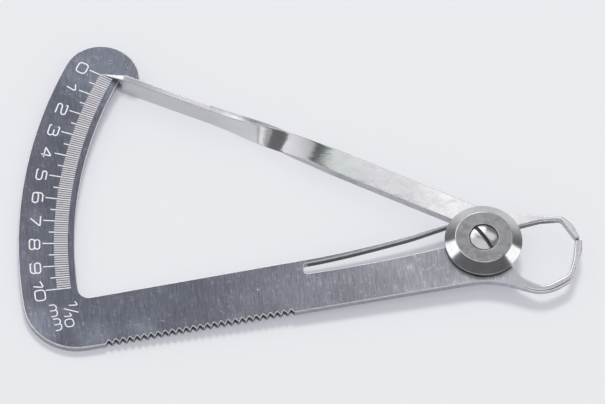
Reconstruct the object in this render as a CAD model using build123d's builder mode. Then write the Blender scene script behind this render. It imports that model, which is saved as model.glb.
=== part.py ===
from build123d import *
from math import asin, atan, cos, degrees, pi, radians, sin, tan
import os

# Spring caliper of flat steel. The plate lies parallel to XY, +Z is up through the pivot, and +X runs
# from the pivot through the point where the closed jaw tips meet. The origin is on the pivot axis, at
# the underside of the back nut. All sizes are in millimetres and all angles in degrees.

# Sheet thicknesses and the stack on the pivot, from the table upwards
nut_flange_height = 1.7
nut_seat_height = 0.3
frame_sheet = 1.5
lug_thickness = 0.85
arm_sheet = 1.8
jaw_relief = 0.25
lap_play = 0.06
cap_play = 0.04
cap_height = 1.7
cap_rim_height = 0.5

# Radii on the pivot
nut_radius = 5.0
nut_chamfer = 0.4
bush_radius = 1.8
screw_radius = 1.0
lap_radius = 3.6
lap_edge_play = 0.2
cap_radius = 6.95
cap_face_radius = 5.05
cap_edge_round = 0.12
recess_radius = 2.7
recess_depth = 0.9
head_radius = 2.3
head_side_height = 0.4
head_dome_height = 0.8
head_slot_width = 0.75
head_slot_depth = 0.65
head_slot_angle = -58.3
thread_floor = 0.5
thread_end_gap = 0.15
fixed_fit = 0.02
running_fit = 0.03

# Measuring geometry: a jaw opening of full_reading turns the pointer through the whole scale
jaw_reach = 17.15
full_reading = 10
jaw_gap = 0.1

# Scale plate
plate_outer_radius = 82.8
plate_inner_radius = 72.7
plate_corner_radius = 9.5
window_corner_radius = 1.8
head_round_radius = 7.0
head_lead = 0.7
head_corner_radius = 0.7
fine_inner_radius = 73.95
fine_outer_radius = 76.4
half_mark_radius = 77.35
whole_mark_radius = 78.45
mark_width = 0.2
fine_mark_width = 0.18
mark_depth = 0.05

# Straight body of the frame: each long edge by a point on it and its slope
body_top_point = (-36.5, -2.8)
body_top_slope = 8.8
body_low_point = (-34.8, -12.6)
body_low_slope = 8.35
teeth_count = 27
teeth_pitch = 1.263
tooth_depth = 0.65
tooth_mouth = 1.15
last_tooth_x = -34.95

# Spring leaf, parted from the frame by a slot that starts at its root
leaf_root_x = -31.4
leaf_cut_gap = 0.08
leaf_root_width = 0.86
leaf_tip_width = 0.55
leaf_tip_x = -5.1
leaf_tip_play = 0.2
leaf_tip_slope = 15.0
leaf_bend_point = (-14.4, 1.6)
leaf_bend_slope = 14.0
slot_end_x = -32.3
slot_root_width = 2.1
slot_corner_radius = 0.6
slot_exit = (-6.2, -0.45)
slot_sag = 0.3

# Pointer arm: a flat bar, a quarter twist, and a blade on edge that runs in a slightly other direction
bar_direction = 152.3
bar_near = 1.7
bar_width = 4.45
blade_direction = 155.2
blade_offset = 6.11
blade_height = 4.6
blade_thickness = 1.2
twist_start = 31.0
twist_length = 24.0
twist_waist = 0.65
twist_ease = 0.75
hub_edge_radius = 7.15

# Pointer end, which straddles the inner edge of the scale plate
tip_reach = 75.85
tip_offset = 6.02
tip_width = 0.16
tip_thickness = 0.1
tip_play = 0.12
tip_rise = 0.35
facet_length = 4.5
fork_play = 0.75
fork_height_play = 0.35
lip_overlap = 0.7
lip_round = 0.45
head_play = 0.3

# Jaw outlines, as corner points and the radius that rounds each of them
lower_neck = (1.33, -7.36)
lower_neck_round = 16.0
lower_outer_corners = ((10.28, -10.93), (15.47, -8.05), (17.6, -2.3))
lower_outer_rounds = (6.5, 3.3, 1.5)
lower_inner_corners = ((15.75, -4.0), (14.75, -6.95), (10.05, -9.35), (6.3, -7.2))
lower_inner_rounds = (5.0, 2.6, 3.0, 1.5)
lower_tip_inner = 16.42
lower_tip_outer = 17.8
lower_hub_point = (2.2, -1.0)
upper_outer_corners = ((14.6, 4.62), (16.2, 3.0))
upper_outer_rounds = (1.3, 2.5)
upper_inner_corners = ((14.15, 3.9), (10.6, 3.8))
upper_inner_rounds = (0.9, 3.0)
upper_tip_inner = 16.4
upper_tip_outer = 17.6
upper_hub_point = (2.8, 2.15)
upper_neck_x = 4.6
upper_neck_round = 1.5
jaw_tip_round = 0.3

# Heights that follow from the stack
frame_bottom = nut_flange_height + nut_seat_height
frame_top = frame_bottom + frame_sheet
frame_middle = frame_bottom + frame_sheet / 2
lug_top = frame_bottom + lug_thickness
lap_height = lug_thickness + lap_play
arm_top = frame_bottom + arm_sheet
arm_middle = frame_bottom + arm_sheet / 2
cap_bottom = arm_top + cap_play
cap_top = cap_bottom + cap_height
recess_floor = cap_top - recess_depth
blade_bottom = arm_middle - blade_height / 2
blade_top = arm_middle + blade_height / 2

# Radii and angles that follow from the measuring geometry
lap_recess_radius = lap_radius + lap_edge_play
bush_seat_radius = bush_radius + fixed_fit
arm_bore_radius = bush_radius + running_fit
scale_zero = blade_direction - degrees(atan(tip_offset / tip_reach))
scale_end = scale_zero + degrees(2 * asin(full_reading / (2 * jaw_reach)))


def polar_point(radius, angle):
    """Plan point on a circle about the pivot."""
    return (radius * cos(radians(angle)), radius * sin(radians(angle)))


def side_point(direction, distance, side):
    """Plan point at a distance along a direction from the pivot, and at a side offset to its right."""
    turn = radians(direction)
    return (distance * cos(turn) + side * sin(turn), distance * sin(turn) - side * cos(turn))


def edge_height(point, slope, x):
    """Height of a straight edge at x."""
    return point[1] + tan(radians(slope)) * (x - point[0])


def edge_meets_circle(point, slope, radius):
    """Left point where a straight edge meets a circle about the pivot."""
    rise = tan(radians(slope))
    start = point[1] - rise * point[0]
    x = -(rise * start + (radius**2 * (1 + rise**2) - start**2) ** 0.5) / (1 + rise**2)
    return (x, start + rise * x)


def reading_angle(reading):
    """Direction of the scale mark for a jaw opening."""
    return scale_zero + degrees(2 * asin(reading / (2 * jaw_reach)))


def upright_edge(part, corner, height):
    """The upright edge of a part that stands at a plan corner."""
    return part.edges().filter_by(Axis.Z).sort_by_distance((*corner, height))[0]


# Head of the plate: a round that touches the outer arc from within, cut straight beside the blade
head_side = blade_offset + blade_thickness / 2 + head_play
head_angle = scale_zero + head_lead
head_centre_radius = plate_outer_radius - head_round_radius
head_centre = polar_point(head_centre_radius, head_angle)
head_centre_along = head_centre_radius * cos(radians(head_angle - blade_direction))
head_centre_across = -head_centre_radius * sin(radians(head_angle - blade_direction))
head_half_chord = (head_round_radius**2 - (head_side - head_centre_across) ** 2) ** 0.5
head_tangent = polar_point(plate_outer_radius, head_angle)
head_top = (head_centre[0], head_centre[1] + head_round_radius)
head_corner = side_point(blade_direction, head_centre_along - head_half_chord, head_side)
head_foot = side_point(blade_direction, (plate_inner_radius**2 - head_side**2) ** 0.5, head_side)

# Corners of the body and the slot
plate_corner = edge_meets_circle(body_low_point, body_low_slope, plate_outer_radius)
window_corner = edge_meets_circle(body_top_point, body_top_slope, plate_inner_radius)
socket_x = leaf_root_x - leaf_cut_gap
socket_top = (socket_x, edge_height(body_top_point, body_top_slope, socket_x))
leaf_root_y = edge_height(body_top_point, body_top_slope, leaf_root_x)
slot_top_corner = (slot_end_x, leaf_root_y - leaf_root_width)
slot_low_corner = (slot_end_x, leaf_root_y - leaf_root_width - slot_root_width)
slot_middle = ((slot_end_x + slot_exit[0]) / 2, (slot_low_corner[1] + slot_exit[1]) / 2 - slot_sag)
lower_tip = ((lower_tip_outer, -jaw_gap / 2), (lower_tip_inner, -jaw_gap / 2))

# Scale frame: plate, straight body with the finger serration, half-lapped pivot lug and lower jaw
with BuildPart() as scale_frame:
    with BuildSketch(Plane.XY.offset(frame_bottom)):
        with BuildLine():
            ThreePointArc(head_tangent, polar_point(plate_outer_radius, 180), plate_corner)
            Polyline(plate_corner, lower_neck, *lower_outer_corners, *lower_tip)
            Polyline(lower_tip[1], *lower_inner_corners, lower_hub_point, slot_exit)
            ThreePointArc(slot_exit, slot_middle, slot_low_corner)
            Polyline(slot_low_corner, slot_top_corner, (socket_x, slot_top_corner[1]), socket_top, window_corner)
            ThreePointArc(window_corner, polar_point(plate_inner_radius, 180), head_foot)
            Line(head_foot, head_corner)
            ThreePointArc(head_corner, head_top, head_tangent)
        make_face()
        Circle(lap_radius)
    extrude(amount=frame_sheet)
    frame_rounds = [
        (plate_corner, plate_corner_radius),
        (window_corner, window_corner_radius),
        (head_corner, head_corner_radius),
        (head_foot, head_corner_radius),
        (lower_neck, lower_neck_round),
        (slot_low_corner, slot_corner_radius),
        (slot_top_corner, slot_corner_radius),
        (lower_tip[0], jaw_tip_round),
        (lower_tip[1], jaw_tip_round),
        *zip(lower_outer_corners, lower_outer_rounds),
        *zip(lower_inner_corners, lower_inner_rounds),
    ]
    for corner, radius in frame_rounds:
        fillet(upright_edge(scale_frame, corner, frame_middle), radius)
    with BuildSketch(Plane.XY.offset(lug_top)):
        Circle(lap_recess_radius)
    extrude(amount=frame_sheet, mode=Mode.SUBTRACT)
    with BuildSketch(Plane.XY.offset(frame_bottom)):
        Circle(bush_seat_radius)
    extrude(amount=frame_sheet, mode=Mode.SUBTRACT)
    with BuildSketch(Plane.XY.offset(frame_bottom)):
        for tooth in range(teeth_count):
            tooth_x = last_tooth_x - tooth * teeth_pitch * cos(radians(body_low_slope))
            tooth_y = edge_height(body_low_point, body_low_slope, tooth_x)
            with Locations(Location((tooth_x, tooth_y), body_low_slope)):
                Polygon((0, tooth_depth), (-tooth_mouth / 2, 0), (tooth_mouth / 2, 0), align=None)
    extrude(amount=frame_sheet, mode=Mode.SUBTRACT)
    with BuildSketch(Plane.XY.offset(frame_top - mark_depth)):
        for tenth in range(10 * full_reading + 1):
            mark_end = fine_outer_radius
            width = fine_mark_width
            if tenth % 10 == 0:
                mark_end = whole_mark_radius
                width = mark_width
            elif tenth % 5 == 0:
                mark_end = half_mark_radius
                width = mark_width
            angle = reading_angle(tenth / 10)
            with Locations(Location(polar_point((fine_inner_radius + mark_end) / 2, angle), angle)):
                Rectangle(mark_end - fine_inner_radius, width)
    extrude(amount=mark_depth, mode=Mode.SUBTRACT)
scale_frame.part.label = "scale_frame"

# Spring leaf: a tapered strip in the plane of the frame, with a round end that bears on the arm
leaf_nose = leaf_tip_width / 2
leaf_tip_side = bar_near - leaf_tip_play - leaf_nose
bar_turn = radians(bar_direction)
leaf_tip_y = (leaf_tip_side - sin(bar_turn) * leaf_tip_x) / -cos(bar_turn)
leaf_width_at_bend = (leaf_root_width + leaf_tip_width) / 2
leaf_directions = [
    (cos(radians(slope)), sin(radians(slope))) for slope in (body_top_slope, leaf_bend_slope, leaf_tip_slope)
]
leaf_tip_up = (-leaf_nose * leaf_directions[2][1], leaf_nose * leaf_directions[2][0])
leaf_tip_top = (leaf_tip_x + leaf_tip_up[0], leaf_tip_y + leaf_tip_up[1])
leaf_tip_low = (leaf_tip_x - leaf_tip_up[0], leaf_tip_y - leaf_tip_up[1])
leaf_bend_low = (leaf_bend_point[0], leaf_bend_point[1] - leaf_width_at_bend)
leaf_nose_point = (
    leaf_tip_x + leaf_nose * leaf_directions[2][0],
    leaf_tip_y + leaf_nose * leaf_directions[2][1],
)
with BuildPart() as spring_leaf:
    with BuildSketch(Plane.XY.offset(frame_bottom)):
        with BuildLine():
            Spline((leaf_root_x, leaf_root_y), leaf_bend_point, leaf_tip_top, tangents=leaf_directions)
            ThreePointArc(leaf_tip_top, leaf_nose_point, leaf_tip_low)
            Spline(
                (leaf_root_x, leaf_root_y - leaf_root_width),
                leaf_bend_low,
                leaf_tip_low,
                tangents=leaf_directions,
            )
            Line((leaf_root_x, leaf_root_y - leaf_root_width), (leaf_root_x, leaf_root_y))
        make_face()
    extrude(amount=frame_sheet)
spring_leaf.part.label = "spring_leaf"

# Line down the middle of the arm: straight, a gentle bend where the two directions meet, and straight
bar_offset = bar_near + bar_width / 2
bar_far = bar_near + bar_width
bend = radians(blade_direction - bar_direction)
bend_along = (blade_offset - bar_offset * cos(bend)) / sin(bend)
bend_point = side_point(bar_direction, bend_along, bar_offset)
twist_start_point = side_point(bar_direction, twist_start, bar_offset)
twist_end = twist_start + twist_length
twist_end_point = side_point(blade_direction, twist_end, blade_offset)


def twist_section(share):
    """Plan point, direction, turn, width and thickness of the arm at a share of its twist."""
    weights = ((1 - share) ** 2, 2 * share * (1 - share), share**2)
    points = (twist_start_point, bend_point, twist_end_point)
    x = sum(weight * point[0] for weight, point in zip(weights, points))
    y = sum(weight * point[1] for weight, point in zip(weights, points))
    direction = bar_direction + share**2 * (blade_direction - bar_direction)
    turn = 90 * (share - twist_ease * sin(2 * pi * share) / (2 * pi))
    width = bar_width + share * (blade_height - bar_width) - 4 * share * (1 - share) * twist_waist
    thickness = arm_sheet + share * (blade_thickness - arm_sheet)
    return (x, y), direction, turn, width, thickness


# Pointer arm: hub, upper jaw and flat bar in one sheet, then the twist, the blade and the pointer end
hub_edge_start = side_point(bar_direction, (hub_edge_radius**2 - bar_far**2) ** 0.5, bar_far)
upper_neck = (upper_neck_x, (hub_edge_radius**2 - upper_neck_x**2) ** 0.5)
upper_tip = ((upper_tip_outer, jaw_gap / 2), (upper_tip_inner, jaw_gap / 2))
bar_near_hub = side_point(bar_direction, lap_radius * 0.8, bar_near)
bar_near_end = side_point(bar_direction, twist_start, bar_near)
bar_far_end = side_point(bar_direction, twist_start, bar_far)
blade_turn = radians(blade_direction)
blade_middle = (*side_point(blade_direction, 0, blade_offset), 0)
blade_plane = Plane(
    origin=blade_middle,
    x_dir=(cos(blade_turn), sin(blade_turn), 0),
    z_dir=(sin(blade_turn), -cos(blade_turn), 0),
)
blade_near = blade_offset - blade_thickness / 2
blade_far = blade_offset + blade_thickness / 2
facet_start = tip_reach - facet_length
fork_floor = (plate_inner_radius**2 - blade_near**2) ** 0.5 - fork_play
lip_end = fork_floor + fork_play + lip_overlap
fork_low = frame_bottom - fork_height_play
fork_high = frame_top + tip_play + tip_rise
tip_bottom = frame_top + tip_play
section_count = 13
with BuildPart() as pointer_arm:
    with BuildSketch(Plane.XY.offset(frame_bottom)):
        with BuildLine():
            Line(bar_far_end, hub_edge_start)
            ThreePointArc(hub_edge_start, polar_point(hub_edge_radius, 75), upper_neck)
            Polyline(upper_neck, *upper_outer_corners, *upper_tip)
            Polyline(upper_tip[1], *upper_inner_corners, upper_hub_point, bar_near_hub, bar_near_end)
            Line(bar_near_end, bar_far_end)
        make_face()
        Circle(lap_radius)
    extrude(amount=arm_sheet)
    arm_rounds = [
        (upper_neck, upper_neck_round),
        (upper_tip[0], jaw_tip_round),
        (upper_tip[1], jaw_tip_round),
        *zip(upper_outer_corners, upper_outer_rounds),
        *zip(upper_inner_corners, upper_inner_rounds),
    ]
    for corner, radius in arm_rounds:
        fillet(upright_edge(pointer_arm, corner, arm_middle), radius)
    with BuildSketch(Plane.XY.offset(frame_bottom)):
        Circle(lap_recess_radius)
    extrude(amount=lap_height, mode=Mode.SUBTRACT)
    with BuildSketch(Plane.XY.offset(frame_bottom)):
        with Locations((jaw_reach, 0)):
            Rectangle(2 * (jaw_reach - cap_radius), 2 * cap_radius)
    extrude(amount=jaw_relief, mode=Mode.SUBTRACT)
    with BuildSketch(Plane.XY.offset(frame_bottom)):
        Circle(arm_bore_radius)
    extrude(amount=arm_sheet, mode=Mode.SUBTRACT)
    for station in range(section_count):
        middle, direction, turn, width, thickness = twist_section(station / (section_count - 1))
        heading = radians(direction)
        tilt = radians(turn)
        width_way = (sin(heading) * cos(tilt), -cos(heading) * cos(tilt), sin(tilt))
        section = Plane(
            origin=(*middle, arm_middle),
            x_dir=width_way,
            z_dir=(cos(heading), sin(heading), 0),
        )
        with BuildSketch(section):
            Rectangle(width, thickness)
    loft()
    with BuildSketch(blade_plane):
        with BuildLine():
            Polyline(
                (twist_end, blade_bottom),
                (lip_end - lip_round, blade_bottom),
                (lip_end, (blade_bottom + fork_low) / 2),
                (lip_end - lip_round, fork_low),
                (fork_floor, fork_low),
                (fork_floor, fork_high),
                (facet_start, fork_high),
                (tip_reach, tip_bottom),
                (tip_reach, tip_bottom + tip_thickness),
                (facet_start, blade_top),
                (twist_end, blade_top),
                close=True,
            )
        make_face()
    extrude(amount=blade_thickness / 2, both=True)
    with BuildSketch(Plane.XY.offset(frame_top)):
        for blade_side, tip_side, away in (
            (blade_near, tip_offset - tip_width / 2, blade_near - blade_thickness),
            (blade_far, tip_offset + tip_width / 2, blade_far + blade_thickness),
        ):
            with BuildLine():
                Polyline(
                    side_point(blade_direction, facet_start, away),
                    side_point(blade_direction, facet_start, blade_side),
                    side_point(blade_direction, tip_reach, tip_side),
                    side_point(blade_direction, tip_reach + blade_thickness, tip_side),
                    side_point(blade_direction, tip_reach + blade_thickness, away),
                    close=True,
                )
            make_face()
    extrude(amount=blade_height, mode=Mode.SUBTRACT)
pointer_arm.part.label = "pointer_arm"

# Pivot cap: a flat cone with a short rim and a round recess for the screw head
with BuildPart() as pivot_cap:
    with BuildSketch(Plane.XZ):
        with BuildLine():
            Polyline(
                (screw_radius + running_fit, cap_bottom),
                (cap_radius, cap_bottom),
                (cap_radius, cap_bottom + cap_rim_height),
                (cap_face_radius, cap_top),
                (recess_radius, cap_top),
                (recess_radius, recess_floor),
                (screw_radius + running_fit, recess_floor),
                close=True,
            )
        make_face()
    revolve(axis=Axis.Z)
    face_edges = pivot_cap.edges().filter_by(GeomType.CIRCLE).filter_by_position(Axis.Z, cap_top, cap_top)
    fillet(face_edges, cap_edge_round)
pivot_cap.part.label = "pivot_cap"

# Pivot screw: a slotted head with a domed face, on a shank that ends in the blind thread of the nut
head_side_top = recess_floor + head_side_height
head_top_height = head_side_top + head_dome_height
dome_radius = (head_radius**2 + head_dome_height**2) / (2 * head_dome_height)
dome_side = head_radius * 0.5
dome_side_height = head_top_height - dome_radius + (dome_radius**2 - dome_side**2) ** 0.5
screw_end = thread_floor + thread_end_gap
with BuildPart() as pivot_screw:
    with BuildSketch(Plane.XZ):
        with BuildLine():
            Polyline(
                (0, head_top_height),
                (0, screw_end),
                (screw_radius, screw_end),
                (screw_radius, recess_floor),
                (head_radius, recess_floor),
                (head_radius, head_side_top),
            )
            ThreePointArc((head_radius, head_side_top), (dome_side, dome_side_height), (0, head_top_height))
        make_face()
    revolve(axis=Axis.Z)
    with BuildSketch(Plane.XY.offset(head_top_height - head_slot_depth)):
        Rectangle(3 * head_radius, head_slot_width, rotation=head_slot_angle)
    extrude(amount=head_dome_height, mode=Mode.SUBTRACT)
pivot_screw.part.label = "pivot_screw"

# Pivot bush: the sleeve on which the arm turns, clamped between the back nut and the cap
with BuildPart() as pivot_bush:
    with BuildSketch(Plane.XY.offset(frame_bottom)):
        Circle(bush_radius)
        Circle(screw_radius + running_fit, mode=Mode.SUBTRACT)
    extrude(amount=cap_bottom - frame_bottom)
pivot_bush.part.label = "pivot_bush"

# Back nut: a round nut with a raised seat under the frame and a blind thread
with BuildPart() as back_nut:
    with BuildSketch(Plane.XY):
        Circle(nut_radius)
    extrude(amount=nut_flange_height)
    chamfer(back_nut.edges().filter_by(GeomType.CIRCLE), nut_chamfer)
    with BuildSketch(Plane.XY.offset(nut_flange_height)):
        Circle(lap_radius)
    extrude(amount=nut_seat_height)
    with BuildSketch(Plane.XY.offset(thread_floor)):
        Circle(screw_radius + fixed_fit)
    extrude(amount=frame_bottom, mode=Mode.SUBTRACT)
back_nut.part.label = "back_nut"

os.makedirs("parts", exist_ok=True)
export_step(scale_frame.part, "parts/scale_frame.step")
export_step(spring_leaf.part, "parts/spring_leaf.step")
export_step(pointer_arm.part, "parts/pointer_arm.step")
export_step(pivot_cap.part, "parts/pivot_cap.step")
export_step(pivot_screw.part, "parts/pivot_screw.step")
export_step(pivot_bush.part, "parts/pivot_bush.step")
export_step(back_nut.part, "parts/back_nut.step")
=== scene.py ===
from math import asin, atan2, ceil, cos, pi, radians, sin, sqrt, tan
from typing import NamedTuple

import bpy
import numpy as np
from bpy.props import FloatProperty, FloatVectorProperty, IntProperty, PointerProperty
from mathutils import Matrix, Vector
from mathutils.geometry import tessellate_polygon


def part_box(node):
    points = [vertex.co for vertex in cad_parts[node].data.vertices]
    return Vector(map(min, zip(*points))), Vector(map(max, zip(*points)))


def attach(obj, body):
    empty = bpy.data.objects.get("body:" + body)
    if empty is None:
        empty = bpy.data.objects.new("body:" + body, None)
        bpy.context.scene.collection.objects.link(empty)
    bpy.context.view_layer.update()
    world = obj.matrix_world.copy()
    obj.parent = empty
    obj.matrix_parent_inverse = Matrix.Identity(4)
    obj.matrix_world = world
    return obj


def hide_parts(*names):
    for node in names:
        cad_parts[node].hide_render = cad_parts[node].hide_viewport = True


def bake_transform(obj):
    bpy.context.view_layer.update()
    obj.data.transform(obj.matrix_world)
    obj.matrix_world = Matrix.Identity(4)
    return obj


bl_info = {
    "name": "Spring caliper",
    "version": (1, 0, 0),
    "blender": (4, 5, 0),
    "location": "View3D > Sidebar > Caliper",
    "description": "Dresses the packed spring caliper in finished steel and sets a plain stage for it",
    "category": "Object",
}

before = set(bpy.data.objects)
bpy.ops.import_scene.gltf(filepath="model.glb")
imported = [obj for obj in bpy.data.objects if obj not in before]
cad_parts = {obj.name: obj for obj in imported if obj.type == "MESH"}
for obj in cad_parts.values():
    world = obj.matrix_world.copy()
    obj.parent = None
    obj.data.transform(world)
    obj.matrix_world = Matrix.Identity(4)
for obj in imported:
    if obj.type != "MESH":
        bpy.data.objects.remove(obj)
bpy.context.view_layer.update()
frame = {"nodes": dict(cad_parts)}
FRAME_LOW, FRAME_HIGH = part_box("scale_frame")
ARM_LOW, ARM_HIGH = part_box("pointer_arm")
CAP_LOW, CAP_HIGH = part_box("pivot_cap")
SCREW_LOW, SCREW_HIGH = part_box("pivot_screw")
BUSH_LOW, BUSH_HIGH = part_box("pivot_bush")
NUT_LOW, NUT_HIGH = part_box("back_nut")

MM = 0.001
PIVOT = np.zeros(2)
BLACK, WHITE = (0, 0, 0), (1, 1, 1)
FACE, RIM, SIDE, EDGE, JAW = range(5)

# A length beyond the caliper, for the second point of an edge whose end doesn't matter
FAR = 100 * MM

# Radius of the small disc that closes a solid turned piece at its axis
AXIS = 0.02 * MM

# Share of its radius by which a convex arc of an outline may draw in
DRAW_SHARE = 0.95

# Where the rims of the lower and the upper jaw start on X
FRAME_JAW_START, ARM_JAW_START = -4 * MM, 7 * MM

# Jaw outlines in millimetres, each row a corner and the radius that rounds it
LOWER_JAW_OUTER = ((1.33, -7.36, 16.0), (10.28, -10.93, 6.5), (15.47, -8.05, 3.3), (17.6, -2.3, 1.5))
LOWER_JAW_INNER = ((15.75, -4.0, 5.0), (14.75, -6.95, 2.6), (10.05, -9.35, 3.0), (6.3, -7.2, 1.5))
UPPER_JAW_OUTER = ((16.2, 3.0, 2.5), (14.6, 4.62, 1.3))
UPPER_JAW_INNER = ((10.6, 3.8, 3.0), (14.15, 3.9, 0.9))


def length(name, description, millimetres):
    """A length property, with its default given in millimetres."""
    return FloatProperty(
        name=name, description=description, default=millimetres * MM, unit="LENGTH", precision=6
    )


def angle(name, description, degrees):
    """An angle property, with its default given in degrees."""
    return FloatProperty(name=name, description=description, default=radians(degrees), subtype="ANGLE")


def colour(name, description, value):
    """A colour property in linear light."""
    return FloatVectorProperty(
        name=name, description=description, default=value, size=3, min=0, max=1, subtype="COLOR"
    )


class PlateSizes(bpy.types.PropertyGroup):
    """Sizes of the curved scale plate and what is engraved on it"""

    outer_radius: length("Outer radius", "Outer arc of the plate about the pivot", -FRAME_LOW.x / MM)
    inner_radius: length("Inner radius", "Inner arc of the plate about the pivot", 72.7)
    corner_round: length("Corner round", "Round of the outer corner between plate and body", 9.5)
    window_round: length("Window round", "Round of the inner corner between plate and body", 1.8)
    head_round: length("Head round", "Radius of the plate's round head", 7.0)
    head_corner_round: length("Head corner round", "Round of the two corners beside the blade", 0.7)
    head_lead: angle("Head lead", "Turn from the zero mark to the head's centre", 0.603)
    head_play: length("Head play", "Gap between the head's straight side and the blade", 0.3)
    scale_zero: angle("Zero mark", "Direction of the zero mark from the pivot", 150.76)
    jaw_reach: length("Jaw reach", "Distance from the pivot to the point where the jaws meet", 17.15)
    full_reading: IntProperty(name="Full reading", description="Last number of the scale", default=10, min=1)
    fine_start: length("Fine marks start", "Inner end of all marks", 73.95)
    fine_end: length("Fine marks end", "Outer end of the tenth marks", 76.4)
    half_end: length("Half marks end", "Outer end of the half marks", 77.35)
    whole_end: length("Whole marks end", "Outer end of the whole marks", 78.45)
    fine_width: length("Fine mark width", "Width of a tenth mark", 0.27)
    mark_width: length("Mark width", "Width of a half or whole mark", 0.2)
    mark_rise: length("Mark rise", "Height of the marks' bright burr over the face", 0.012)
    digit_radius: length("Digit radius", "Distance from the pivot to the middle of the numbers", 79.85)
    digit_lead: angle("Digit lead", "Turn from a mark to the middle of its number", 0.14)
    digit_height: length("Digit height", "Height of a number between its stroke lines", 1.8)
    digit_width: length("Digit width", "Width of a number between its stroke lines", 2.05)
    digit_stroke: length("Digit stroke", "Width of the numbers' strokes", 0.24)


class BodySizes(bpy.types.PropertyGroup):
    """Sizes of the frame's straight body, its finger serration and its spring leaf"""

    top_x: length("Top edge x", "A point on the body's top edge", -36.5)
    top_y: length("Top edge y", "A point on the body's top edge", -2.8)
    top_slope: angle("Top edge slope", "Slope of the body's top edge", 8.8)
    low_x: length("Low edge x", "A point on the body's low edge", -34.8)
    low_y: length("Low edge y", "A point on the body's low edge", -12.6)
    low_slope: angle("Low edge slope", "Slope of the body's low edge", 8.35)
    teeth: IntProperty(name="Notches", description="Number of notches of the serration", default=27, min=1)
    pitch: length("Notch pitch", "Distance from notch to notch", 1.263)
    depth: length("Notch depth", "Depth of a notch", 0.65)
    mouth: length("Notch mouth", "Width of a notch at the edge", 1.15)
    last_notch: length("Last notch", "Place of the notch nearest the pivot", -34.95)
    crest_round: length("Crest round", "Round of the notches' crests", 0.115)
    notch_round: length("Notch round", "Round at the bottom of a notch", 0.08)
    edge_round: length("Edge round", "Broken edge all round the sheet", 0.16)
    leaf_root: length("Leaf root", "Where the spring leaf starts", -31.48)
    leaf_root_width: length("Leaf root width", "Width of the leaf at its root", 0.86)
    leaf_tip_width: length("Leaf tip width", "Width of the leaf at its tip", 0.55)
    slot_end: length("Slot end", "Left end of the slot under the leaf", -32.3)
    slot_width: length("Slot width", "Width of the slot at the leaf's root", 2.1)
    slot_round: length("Slot round", "Rounds of the slot's end", 0.6)


class ArmSizes(bpy.types.PropertyGroup):
    """Sizes of the pointer arm"""

    sheet: length("Sheet", "Thickness of the arm's flat part", 1.8)
    jaw_relief: length("Jaw relief", "How much thinner the upper jaw is on its underside", 0.25)
    lug: length("Frame lug", "Thickness of the frame's lug under the arm", 0.85)
    lug_play: length("Lug play", "Gap between the frame's lug and the arm", 0.06)
    lap_radius: length("Lap radius", "Radius of the two half-lapped lugs", 3.6)
    lap_play: length("Lap play", "Gap round the lugs", 0.2)
    bore: length("Bore", "Radius of the arm's bore on the bush", 1.83)
    hub_radius: length("Hub radius", "Outer edge of the arm's hub", 7.15)
    bar_direction: angle("Bar direction", "Direction of the flat bar", 152.3)
    bar_near: length("Bar near edge", "Offset of the bar's near edge from the pivot", 1.7)
    bar_width: length("Bar width", "Width of the flat bar", 4.45)
    blade_direction: angle("Blade direction", "Direction of the blade that stands on edge", 155.2)
    blade_offset: length("Blade offset", "Offset of the blade's middle from the pivot", 6.11)
    blade_thickness: length("Blade thickness", "Thickness of the blade", 1.2)
    twist_start: length("Twist start", "Where the quarter twist starts", 31.0)
    twist_length: length("Twist length", "Length of the quarter twist", 24.0)
    twist_waist: length("Twist waist", "How much the strip narrows in the twist", 0.65)
    twist_ease: FloatProperty(name="Twist ease", description="Softness of the twist's ends", default=0.75)
    edge_round: length("Edge round", "Broken edges of the strip", 0.13)
    jaw_softness: FloatProperty(
        name="Jaw softness", description="How much rounder the jaws' edges are", default=2.6
    )
    tip_reach: length("Tip reach", "Distance from the pivot to the pointer's tip", 75.85)
    tip_offset: length("Tip offset", "Offset of the pointer's tip from the pivot", 6.02)
    tip_width: length("Tip width", "Width of the pointer's tip", 0.16)
    tip_height: length("Tip height", "Height of the pointer's tip", 0.1)
    tip_play: length("Tip play", "Gap between the pointer's tip and the plate", 0.12)
    tip_rise: length("Tip rise", "Height of the fork's roof over the pointer's tip", 0.35)
    facet_length: length("Facet length", "Length of the pointer's sloping facet", 4.5)
    fork_play: length("Fork play", "Gap between the plate's inner edge and the fork", 0.75)
    fork_drop: length("Fork drop", "Gap between the plate's back and the lip", 0.35)
    lip_overlap: length("Lip overlap", "How far the lip reaches under the plate", 0.7)
    lip_round: length("Lip round", "Length of the lip's rounded end", 0.45)


class PivotSizes(bpy.types.PropertyGroup):
    """Sizes of the cap, screw, bush and nut on the pivot"""

    cap_face: length("Cap face", "Radius of the cap's flat face", 5.05)
    cap_rim: length("Cap rim", "Height of the cap's upright rim", 0.5)
    recess_radius: length("Recess radius", "Radius of the recess for the screw head", 2.62)
    recess_depth: length("Recess depth", "Depth of the recess for the screw head", 0.9)
    edge_round: length("Edge round", "Broken edges of the turned pieces", 0.12)
    face_round: length("Face round", "Soft edge between the cap's flat face and its cone", 0.4)
    head_spread: length("Head spread", "How far the head's flange reaches beyond its solid", 0.2)
    head_side: length("Head side", "Height of the screw head's upright side", 0.72)
    slot_width: length("Slot width", "Width of the screwdriver slot", 0.6)
    slot_depth: length("Slot depth", "Depth of the screwdriver slot", 0.65)
    slot_angle: angle("Slot angle", "Direction of the screwdriver slot", -58.3)
    shank: length("Shank", "Radius of the screw's shank", 1.0)
    fit: length("Fit", "Play between shank and bore", 0.03)
    seat_radius: length("Seat radius", "Radius of the nut's raised seat", 3.6)
    seat_height: length("Seat height", "Height of the nut's raised seat", 0.3)
    thread_floor: length("Thread floor", "Height of the floor of the nut's blind bore", 0.5)


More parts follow.
